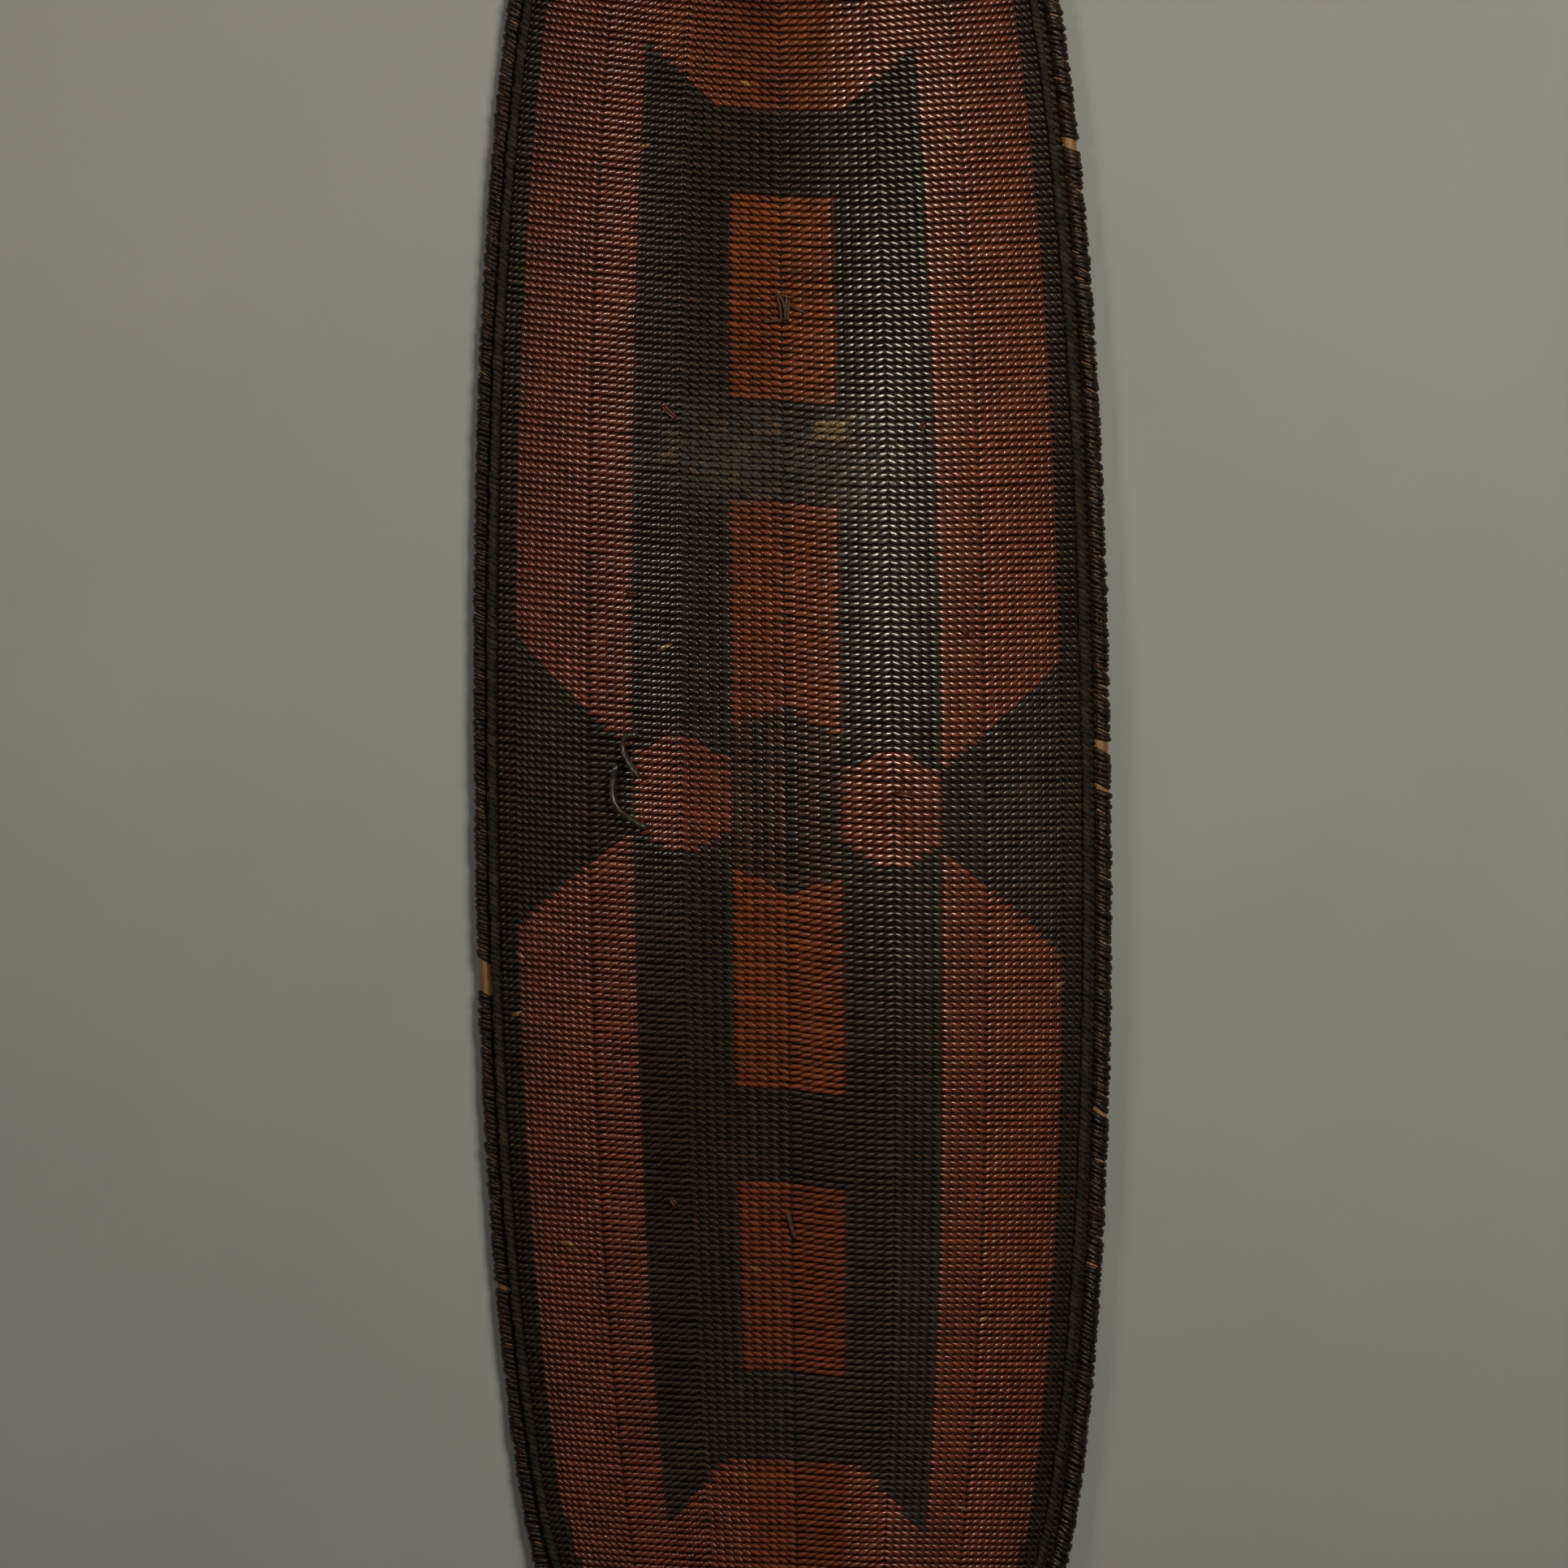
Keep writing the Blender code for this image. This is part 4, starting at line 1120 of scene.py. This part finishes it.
def wood_material(name, dark, light, grain_axis, roughness):
    """Wood with long grain along one axis."""
    material, tree, shader = new_material(name)
    spread = add_node(tree, "ShaderNodeMapping")
    plug(tree, spread.inputs["Vector"], object_place(tree))
    spread.inputs["Scale"].default_value = [GRAIN_STRETCH if axis == grain_axis else 1.0 for axis in "XYZ"]
    grain = noise(tree, spread.outputs[0], 420.0, 6.0, 0.6)
    age = use_group(tree, AGE, Patch_scale=22.0, Dust_scale=150.0)
    colour = blend_colour(tree, remap(tree, grain, 0.35, 0.65), dark, light)
    dusty = blend_colour(tree, maths(tree, "MULTIPLY", age.outputs["Dusty"], 0.3), colour, dark)
    plug(tree, shader.inputs["Base Color"], dusty)
    polished = remap(tree, age.outputs["Rubbed"], 0.0, 1.0, roughness + 0.15, roughness)
    plug(tree, shader.inputs["Roughness"], polished)
    bump(tree, shader, grain, 0.0003, 0.5)
    return material


BINDING_CANE = cane_material("binding_cane", CANE_DARK, CANE_LIGHT, 0.36, 500.0)
CORD_FIBRE = cane_material("cord_fibre", FIBRE_DARK, FIBRE_LIGHT, 0.75, 900.0)
ROD_WOOD = wood_material("bare_rod_wood", ROD_DARK, ROD_LIGHT, "Y", 0.55)
print("rim materials", BINDING_CANE.name, CORD_FIBRE.name, ROD_WOOD.name)

# %% A turn of cane, and the tree that winds it
CREST_SHARE = 0.24


def turn_object(name, inner, outer, width, lean, sides):
    """One closed turn of strip round Z, rounded on top, that leans along Z as it crosses."""
    profile = [(inner, -width / 2)]
    for share in (-CREST_SHARE, CREST_SHARE):
        profile.append((outer, share * width))
    profile.append((inner, width / 2))
    bm = bmesh.new()
    loops = []
    for k in range(sides):
        angle = 2 * math.pi * k / sides
        shift = lean * outer * math.cos(angle)
        across, up = math.cos(angle), math.sin(angle)
        loops.append([bm.verts.new((r * across, r * up, z + shift)) for r, z in profile])
    for k in range(sides):
        here, there = loops[k], loops[(k + 1) % sides]
        for i in range(len(profile)):
            m = (i + 1) % len(profile)
            bm.faces.new((here[i], there[i], there[m], here[m]))
    mesh = closed_mesh(bm, name)
    ridge = mesh.attributes.new("crown", "FLOAT", "POINT")
    for i, vert in enumerate(mesh.vertices):
        ridge.data[i].value = (vert.co.xy.length - inner) / (outer - inner)
    turn = add_object(name, mesh)
    turn.hide_render = True
    return turn


def winding_tree():
    """Wind turns along a curve, leaving one stretch bare."""
    tree = bpy.data.node_groups.new("wind turns along a line", "GeometryNodeTree")
    tree.interface.new_socket("Geometry", in_out="OUTPUT", socket_type="NodeSocketGeometry")
    tree_input(tree, "Line", "NodeSocketGeometry")
    tree_input(tree, "Turn", "NodeSocketObject")
    tree_input(tree, "Pitch", "NodeSocketFloat", 0.003, 0.0005, 1.0)
    tree_input(tree, "Uneven size", "NodeSocketFloat", 0.04)
    tree_input(tree, "Uneven tilt", "NodeSocketFloat", 0.06)
    tree_input(tree, "Bare start", "NodeSocketFloat", -1.0)
    tree_input(tree, "Bare length", "NodeSocketFloat", 0.0)
    tree_input(tree, "Seed", "NodeSocketInt", 1)
    tree_input(tree, "Finish", "NodeSocketMaterial")
    inside = add_node(tree, "NodeGroupInput")

    stepped = add_node(tree, "GeometryNodeResampleCurve", mode="LENGTH")
    plug(tree, stepped.inputs["Curve"], inside.outputs["Line"])
    plug(tree, stepped.inputs["Length"], inside.outputs["Pitch"])
    points = store_tone(tree, inside, stepped.outputs[0], 1.0)
    length = add_node(tree, "GeometryNodeSplineParameter").outputs["Length"]
    from_start = maths(tree, "SUBTRACT", length, inside.outputs["Bare start"])
    before = maths(tree, "LESS_THAN", from_start, 0.0)
    after = maths(tree, "GREATER_THAN", from_start, inside.outputs["Bare length"])
    wrapped = maths(tree, "MAXIMUM", before, after)
    facing = add_node(tree, "FunctionNodeAxesToRotation", primary_axis="Z", secondary_axis="Y")
    plug(tree, facing.inputs["Primary Axis"], add_node(tree, "GeometryNodeInputTangent").outputs[0])
    facing.inputs["Secondary Axis"].default_value = (0.0, 0.0, 1.0)
    tilt = add_node(tree, "ShaderNodeCombineXYZ")
    swing = inside.outputs["Uneven tilt"]
    for axis, offset in (("X", 2.0), ("Y", 3.0)):
        plug(tree, tilt.inputs[axis], maths(tree, "MULTIPLY", random_between(tree, inside, offset), swing))
    leaning = add_node(tree, "FunctionNodeEulerToRotation")
    plug(tree, leaning.inputs[0], tilt.outputs[0])
    turned = add_node(tree, "FunctionNodeRotateRotation", rotation_space="LOCAL")
    plug(tree, turned.inputs[0], facing.outputs[0])
    plug(tree, turned.inputs[1], leaning.outputs[0])
    uneven = maths(tree, "MULTIPLY", random_between(tree, inside, 4.0), inside.outputs["Uneven size"])
    swell = maths(tree, "ADD", uneven, 1.0)
    size = add_node(tree, "ShaderNodeCombineXYZ")
    for axis, value in (("X", swell), ("Y", swell), ("Z", random_between(tree, inside, 5.0, 0.80, 1.25))):
        plug(tree, size.inputs[axis], value)
    stood = stand_on(tree, points, wrapped, inside.outputs["Turn"], turned.outputs[0], size.outputs[0])
    end_tree(tree, inside, stood)
    return tree


WINDING_TREE = winding_tree()
print("tree", WINDING_TREE.name, "with", len(WINDING_TREE.nodes), "nodes")

# %% Lines to wind along


def line_object(points, closed):
    """A poly curve through points, for a tree to follow."""
    data = bpy.data.curves.new("line", "CURVE")
    data.dimensions = "3D"
    spline = data.splines.new("POLY")
    spline.points.add(len(points) - 1)
    flat = np.concatenate([points, np.ones((len(points), 1))], axis=1)
    spline.points.foreach_set("co", flat.astype(np.float32).ravel())
    spline.use_cyclic_u = closed
    return add_object("line", data)


def rim_index(side, height):
    """Index on the rod's line of a height over the widest line, on the right (1) or the left (-1)."""
    candidates = np.where(rod_plan[:, 0] * side > SHIELD_WIDTH / 4)[0]
    return int(candidates[np.argmin(np.abs(rod_plan[candidates, 1] - WIDEST_Y - height))])


def rim_stretch(start, end):
    """Points of the rod's line between two indices, anticlockwise."""
    if end < start:
        end += len(rod_line)
    return rod_line[np.arange(start, end + 1) % len(rod_line)]


def length_to(start, end):
    """Length along the rod's line between two indices."""
    stretch = rim_stretch(start, end)
    return float(np.linalg.norm(np.diff(stretch, axis=0), axis=1).sum())


left_side = length_to(rim_index(-1, 0.3), rim_index(-1, -0.3))
print("the middle of the left side is", round(left_side, 3), "m long")

# %% The rod and its wrapping
BARE_RIGHT_UPPER, BARE_RIGHT_UPPER_LENGTH = 0.0295, 0.009
BARE_RIGHT_LOWER, BARE_RIGHT_LOWER_LENGTH = -0.1825, 0.006
BARE_LEFT, BARE_LEFT_LENGTH = -0.102, 0.022
TURN_PITCH = 0.0029
TURN_WIDTH = 0.0038
TURN_LEAN = 0.36
TURN_OVERLAP = 0.0002
TURN_SIDES = 10
LINE_STRIDE = 6
LOST_STRIP = 0.004


def tube_object(name, points, radius, sides, closed, taper=None, ridge_value=1.0):
    """A round tube along points, closed on itself or capped."""
    points = np.asarray(points)
    ahead = np.roll(points, -1, axis=0) - np.roll(points, 1, axis=0)
    if not closed:
        ahead[0], ahead[-1] = points[1] - points[0], points[-1] - points[-2]
    ahead /= np.linalg.norm(ahead, axis=1, keepdims=True)
    guide = np.array([0.0, 0.0, 1.0])
    if abs(ahead[0, 2]) > 0.8:
        guide = np.array([1.0, 0.0, 0.0])
    bm = bmesh.new()
    loops = []
    for i, (point, forward) in enumerate(zip(points, ahead)):
        first = guide - forward * guide.dot(forward)
        first /= np.linalg.norm(first)
        second = np.cross(forward, first)
        guide = guide if closed else first
        wide = radius * (1.0 if taper is None else taper[i])
        angles = 2 * math.pi * np.arange(sides) / sides
        ring = point + wide * (np.cos(angles)[:, None] * first + np.sin(angles)[:, None] * second)
        loops.append([bm.verts.new(p) for p in ring])
    for i in range(len(loops) if closed else len(loops) - 1):
        here, there = loops[i], loops[(i + 1) % len(loops)]
        for k in range(sides):
            bm.faces.new((here[k], here[(k + 1) % sides], there[(k + 1) % sides], there[k]))
    if not closed:
        bm.faces.new(loops[0][::-1])
        bm.faces.new(loops[-1])
    mesh = closed_mesh(bm, name)
    ridge = mesh.attributes.new("crown", "FLOAT", "POINT")
    ridge.data.foreach_set("value", np.full(len(mesh.vertices), float(ridge_value), np.float32))
    return add_object(name, mesh)


rod = tube_object("rim_rod_bent", rod_line[::LINE_STRIDE], ROD_RADIUS, 12, True)
rod.data.materials.append(ROD_WOOD)
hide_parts("rim_rod")
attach(rod, "root")

turn = turn_object("turn", ROD_RADIUS - TURN_OVERLAP, BINDING_RADIUS, TURN_WIDTH, TURN_LEAN, TURN_SIDES)
right_gap = [rim_index(1, BARE_RIGHT_UPPER + s * BARE_RIGHT_UPPER_LENGTH / 2) for s in (1, -1)]
lower_gap = [rim_index(1, BARE_RIGHT_LOWER + s * BARE_RIGHT_LOWER_LENGTH / 2) for s in (1, -1)]
left_gap = [rim_index(-1, BARE_LEFT + s * BARE_LEFT_LENGTH / 2) for s in (1, -1)]
runs = (
    ("upper", right_gap[0], left_gap[0], (1, 0.375)),
    ("lower", left_gap[1], lower_gap[1], (-1, -0.28)),
    ("right", lower_gap[0], right_gap[1], (1, 0.003)),
)
for number, (title, start, end, (bare_side, bare_height)) in enumerate(runs, start=1):
    line = line_object(rim_stretch(start, end), False)
    values = {
        "Turn": turn, "Pitch": TURN_PITCH, "Seed": 40 + number, "Finish": BINDING_CANE,
        "Bare start": length_to(start, rim_index(bare_side, bare_height)), "Bare length": LOST_STRIP,
        "Uneven size": 0.07, "Uneven tilt": 0.16,
    }
    winding = run_tree(line, WINDING_TREE, values, f"binding_turns_{title}")
    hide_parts(f"rim_binding_{title}")
    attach(winding, "root")
    print(winding.name, "has", triangles(winding), "triangles")
bpy.data.objects.remove(turn, do_unlink=True)

# %% [markdown]
# ## The cord inside the rim
# A thin cord with its own fine wrapping lies on the face, a little inside the rod. It stands closer to the
# rod on the left than on the right. It is wound with the same tree, round a plain tube.

# %% Edge cord
CORD_RADIUS = 0.0026
CORD_INSET = 0.0125
CORD_INSET_MORE_ON_RIGHT = 0.0015
CORD_GAP = 0.0006
CORD_REST = PANEL_THICKNESS / 2 + CORD_GAP + CORD_RADIUS * math.cos(math.pi / 6)
CORE_SHARE = 0.78
CORD_TURN_WIDTH, CORD_TURN_LEAN = 0.0036, 0.5
cord_plan = inset_line(CORD_INSET + CORD_INSET_MORE_ON_RIGHT * rod_plan[:, 0] / (SHIELD_WIDTH / 2))
cord_line = surface(cord_plan[:, 0], cord_plan[:, 1], CORD_REST)
# Its low crown value of 0.2 darkens the core with painted shade, since it shows only between the turns.
cord_core = tube_object(
    "edge_cord_core", cord_line[::LINE_STRIDE], CORD_RADIUS * CORE_SHARE, 8, True, ridge_value=0.2
)
cord_core.data.materials.append(CORD_FIBRE)
cord_turn = turn_object(
    "cord_turn", CORD_RADIUS * 0.7, CORD_RADIUS, CORD_TURN_WIDTH, CORD_TURN_LEAN, 6
)
values = {
    "Turn": cord_turn, "Pitch": 0.0031, "Seed": 71, "Finish": CORD_FIBRE,
    "Uneven size": 0.14, "Uneven tilt": 0.28,
}
cord_turns = run_tree(line_object(cord_line, True), WINDING_TREE, values, "edge_cord_turns")
bpy.data.objects.remove(cord_turn, do_unlink=True)
for piece in (cord_core, cord_turns):
    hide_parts("edge_cord")
    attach(piece, "root")
print("edge cord has", triangles(cord_core) + triangles(cord_turns), "triangles")

# %% [markdown]
# ## Ties and thongs
# The grip is tied through the weave with strands of cane, which show on the face as a small bundle above
# and two slanted strands below. Left of the middle two stiff dark thongs come through. They could be
# simulated cords, but the real ones are stiff, so they are tubes along short lines through listed points,
# in the same places as the solids.

# %% Materials of the ties
TIE_DARK, TIE_LIGHT = (0.030, 0.012, 0.005, 1.0), (0.105, 0.045, 0.018, 1.0)
END_DARK, END_LIGHT = (0.055, 0.013, 0.006, 1.0), (0.14, 0.040, 0.018, 1.0)
HIDE_DARK, HIDE_LIGHT = (0.010, 0.009, 0.006, 1.0), (0.045, 0.038, 0.020, 1.0)
TIE_CANE = cane_material("tie_cane", TIE_DARK, TIE_LIGHT, 0.42, 700.0)
STRAND_CANE = cane_material("strand_end_cane", END_DARK, END_LIGHT, 0.20, 700.0)


def thong_material():
    """Stiff dark hide, polished on its back."""
    material, tree, shader = new_material("dark_thong")
    age = use_group(tree, AGE, Patch_scale=120.0, Dust_scale=500.0)
    colour = blend_colour(tree, age.outputs["Rubbed"], HIDE_DARK, HIDE_LIGHT)
    plug(tree, shader.inputs["Base Color"], colour)
    plug(tree, shader.inputs["Roughness"], remap(tree, age.outputs["Dusty"], 0.0, 1.0, 0.22, 0.45))
    bump(tree, shader, age.outputs["Dusty"], 0.0002, 0.4)
    return material


THONG_HIDE = thong_material()
print("tie materials", TIE_CANE.name, THONG_HIDE.name)

# %% Smooth lines through a few points


def smooth_line(points, steps=6):
    """A Catmull-Rom line through points."""
    points = np.asarray(points, float)
    padded = np.concatenate([2 * points[:1] - points[1:2], points, 2 * points[-1:] - points[-2:-1]])
    made = []
    for i in range(1, len(padded) - 2):
        a, b, c, d = padded[i - 1 : i + 3]
        slope, bend, twist = c - a, 2 * a - 5 * b + 4 * c - d, 3 * b - a - 3 * c + d
        for t in np.arange(steps) / steps:
            made.append(0.5 * (2 * b + slope * t + bend * t**2 + twist * t**3))
    made.append(points[-1])
    return np.array(made)


def over_face(places):
    """Points over the face from (x, height over the widest line, height over the face)."""
    places = np.asarray(places, float)
    return surface(places[:, 0], WIDEST_Y + places[:, 1], PANEL_THICKNESS / 2 + places[:, 2])


def join_pieces(pieces, name):
    """Join mesh objects into one new object of that name, and remove them."""
    bm = bmesh.new()
    for piece in pieces:
        bm.from_mesh(piece.data)
        bpy.data.objects.remove(piece, do_unlink=True)
    return add_object(name, closed_mesh(bm, name))


print("a line through 3 places has", len(smooth_line([(0, 0, 0), (1, 0, 0), (1, 1, 0)])), "points")

# %% Thongs
# Each place: x, height over the widest line and height over the face
THONG_RADIUS = 0.0018
THONG_LIFT = 0.0015
REST = THONG_RADIUS + GAP + THONG_LIFT
free_places = [
    (-0.0858, 0.0378, -0.0100), (-0.0858, 0.0378, 0.0003), (-0.0863, 0.0377, REST),
    (-0.0901, 0.0366, REST + 0.0004), (-0.0925, 0.0330, REST), (-0.0922, 0.0284, REST),
    (-0.0897, 0.0238, REST + 0.0008), (-0.0864, 0.0190, REST + 0.0022), (-0.0821, 0.0134, REST + 0.0042),
]
stitched_places = [
    (-0.0964, 0.0195, -0.0100), (-0.0964, 0.0195, 0.0003), (-0.0966, 0.0190, REST),
    (-0.0978, 0.0135, REST + 0.0006), (-0.0984, 0.0070, REST + 0.0012),
    (-0.0976, 0.0005, REST + 0.0012), (-0.0946, -0.0053, REST + 0.0010),
    (-0.0903, -0.0091, REST + 0.0005), (-0.0857, -0.0124, REST), (-0.0815, -0.0146, REST),
    (-0.0812, -0.0147, 0.0003), (-0.0812, -0.0147, -0.0100),
]
for name, places in (("thong_free", free_places), ("thong_stitched", stitched_places)):
    line = smooth_line(over_face(places))
    steps = np.linspace(0, 1, len(line))
    taper = 0.92 + 0.10 * np.sin(3 * math.pi * steps)
    if name == "thong_free":
        taper *= np.clip((1 - steps) / 0.06, 0.55, 1.0)
    tube = tube_object(name + "_hide", line, THONG_RADIUS, 12, False, taper)
    tube.data.materials.append(THONG_HIDE)
    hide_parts(name)
    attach(tube, "root")
    print(tube.name, "has", triangles(tube), "triangles")

# %% Ties
LASHING_ABOVE, LASHING_BELOW = 0.283, -0.245
STRAND_RADIUS = 0.00085
STRAND_SIDES = 7
BUNDLE_LIFT, PAIR_LIFT = 0.0017, 0.0014


def tie_back(height):
    """Depth under the face of the grip pad's back, at a tie."""
    box_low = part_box("lashing_upper" if height > 0 else "lashing_lower")[0]
    face = surface(0.0, WIDEST_Y + height, PANEL_THICKNESS / 2)[2]
    return box_low.z - face + 0.0012


def tie_strand(name, places, depth, lift, middle):
    """One strand: up from the back, over the face and down again."""
    (x1, y1), (x2, y2) = places[0], places[-1]
    over = [(x, y, lift) for x, y in places[1:-1]] or [((x1 + x2) / 2, (y1 + y2) / 2, lift)]
    across = (y1 + y2) / 2
    line = [
        (middle, across + 0.002, depth), (middle, y1 - 0.0005, depth), (middle, y1, depth + 0.003),
        (x1, y1, -0.004), (x1, y1, lift * 0.4), *over, (x2, y2, lift * 0.4), (x2, y2, -0.004),
        (middle, y2, depth + 0.003), (middle, y2 + 0.0005, depth), (middle, across - 0.002, depth),
    ]
    return tube_object(name, smooth_line(over_face(line), 5), STRAND_RADIUS, STRAND_SIDES, False)


upper_strands = (
    ((-0.0026, 0.2886), (-0.0009, 0.2835), (0.0001, 0.2746)), ((0.0033, 0.2882), (0.0020, 0.2751)),
    ((0.0045, 0.2861), (0.0036, 0.2747)), ((-0.0020, 0.2892), (0.0009, 0.2858), (0.0020, 0.2800)),
)
upper_ends = (
    ((0.0048, 0.2830, 0.0010), (0.0090, 0.2808, 0.0014), (0.0135, 0.2785, 0.0004)),
    ((0.0003, 0.2748, 0.0012), (-0.0050, 0.2740, 0.0016), (-0.0100, 0.2738, 0.0004)),
    ((-0.0030, 0.2900, 0.0004), (0.0000, 0.2888, 0.0016), (0.0060, 0.2876, 0.0004)),
)
lower_strands = (
    ((-0.0023, -0.2384), (0.0011, -0.2515)), ((-0.0012, -0.2388), (0.0020, -0.2519)),
)
strands = []
for i, places in enumerate(upper_strands):
    lift = BUNDLE_LIFT + 0.0005 * (i % 2)
    strands.append(tie_strand(f"strand_{i}", places, tie_back(LASHING_ABOVE), lift, 0.0004 * i))
for i, places in enumerate(upper_ends):
    line = smooth_line(over_face(places), 5)
    strands.append(tube_object(f"end_{i}", line, STRAND_RADIUS, STRAND_SIDES, False))
upper_tie = join_pieces(strands, "tie_strands_upper")
strands = []
for i, places in enumerate(lower_strands):
    middle = 0.0012 * (i - 0.5)
    strands.append(tie_strand(f"strand_{i}", places, tie_back(LASHING_BELOW), PAIR_LIFT, middle))
lower_tie = join_pieces(strands, "tie_strands_lower")
for tie, node in ((upper_tie, "lashing_upper"), (lower_tie, "lashing_lower")):
    tie.data.materials.append(TIE_CANE)
    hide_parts(node)
    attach(tie, "root")
    print(tie.name, "has", triangles(tie), "triangles")

# %% [markdown]
# ## Loose ends in the weave
# Where a weft ran out, the maker pushed in a new one, and the old end stands up from its row. A few show
# on the face as short glossy double strands. A raised stitch would have no free end, so they are tubes.

# %% Strand ends
END_RADIUS = 0.0008
END_PLACES = (
    ((-0.0680, 0.2263), (-0.0613, 0.2195)), ((0.0804, 0.2152), (0.0780, 0.2111)),
    ((0.0617, 0.0028), (0.0727, 0.0008)), ((0.1002, 0.0969), (0.1033, 0.0932)),
    ((-0.0690, -0.2290), (-0.0660, -0.2325)), ((-0.0906, 0.1190), (-0.0844, 0.1187)),
)
ends = []
for i, ((x1, y1), (x2, y2)) in enumerate(END_PLACES):
    slide = Vector((y2 - y1, x1 - x2)).normalized() * END_RADIUS
    for side in (-1, 1):
        a = (x1 + side * slide.x, y1 + side * slide.y)
        b = (x2 + side * slide.x, y2 + side * slide.y)
        middle = ((a[0] + b[0]) / 2, (a[1] + b[1]) / 2, 0.0014)
        places = smooth_line(over_face([(*a, -0.0002), middle, (*b, 0.0004)]), 5)
        ends.append(tube_object(f"end_{i}_{side}", places, END_RADIUS, STRAND_SIDES, False))
strand_ends = join_pieces(ends, "strand_ends")
strand_ends.data.materials.append(STRAND_CANE)
woven.append(strand_ends)
print("strand ends have", triangles(strand_ends), "triangles")

# %% [markdown]
# ## The grip
# The grip is carved from one board: two flat pads that lie against the sheet, and a rounded hand hold
# between them. A subdivided copy of the solid would bulge at the pads, so the board keeps its solid and
# gets a wood finish here.

# %% Grip finish
GRIP_DARK, GRIP_LIGHT = (0.045, 0.020, 0.010, 1.0), (0.14, 0.066, 0.030, 1.0)
GRIP_WOOD = wood_material("grip_wood", GRIP_DARK, GRIP_LIGHT, "Y", 0.40)
board = nodes["grip_board"]
board.data.materials.clear()
board.data.materials.append(GRIP_WOOD)
print("grip board has", triangles(board), "triangles")

# %% [markdown]
# ## The floor's finish
# The floor is a plain pale sheet with a very faint unevenness, so that it reads as paper and not as light.

# %% Floor material
PAPER_DARK, PAPER_LIGHT = (0.245, 0.25, 0.25, 1.0), (0.275, 0.28, 0.28, 1.0)
floor_material, tree, shader = new_material("pale_floor")
paper = noise(tree, object_place(tree), 6.0, 3.0)
plug(tree, shader.inputs["Base Color"], blend_colour(tree, paper, PAPER_DARK, PAPER_LIGHT))
shader.inputs["Roughness"].default_value = 0.9
floor.data.materials.append(floor_material)
print("floor finish", floor_material.name)

# %% [markdown]
# ## Hand over
# Every woven piece stands for the panel and rides on the one body. The two boxes are kept.

# %% Finish
for piece in woven:
    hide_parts("woven_panel")
    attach(piece, "root")
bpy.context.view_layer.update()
shown = [obj for obj in bpy.data.objects if obj.type == "MESH" and not obj.hide_render]
print("triangles in all", sum(triangles(obj) for obj in shown))
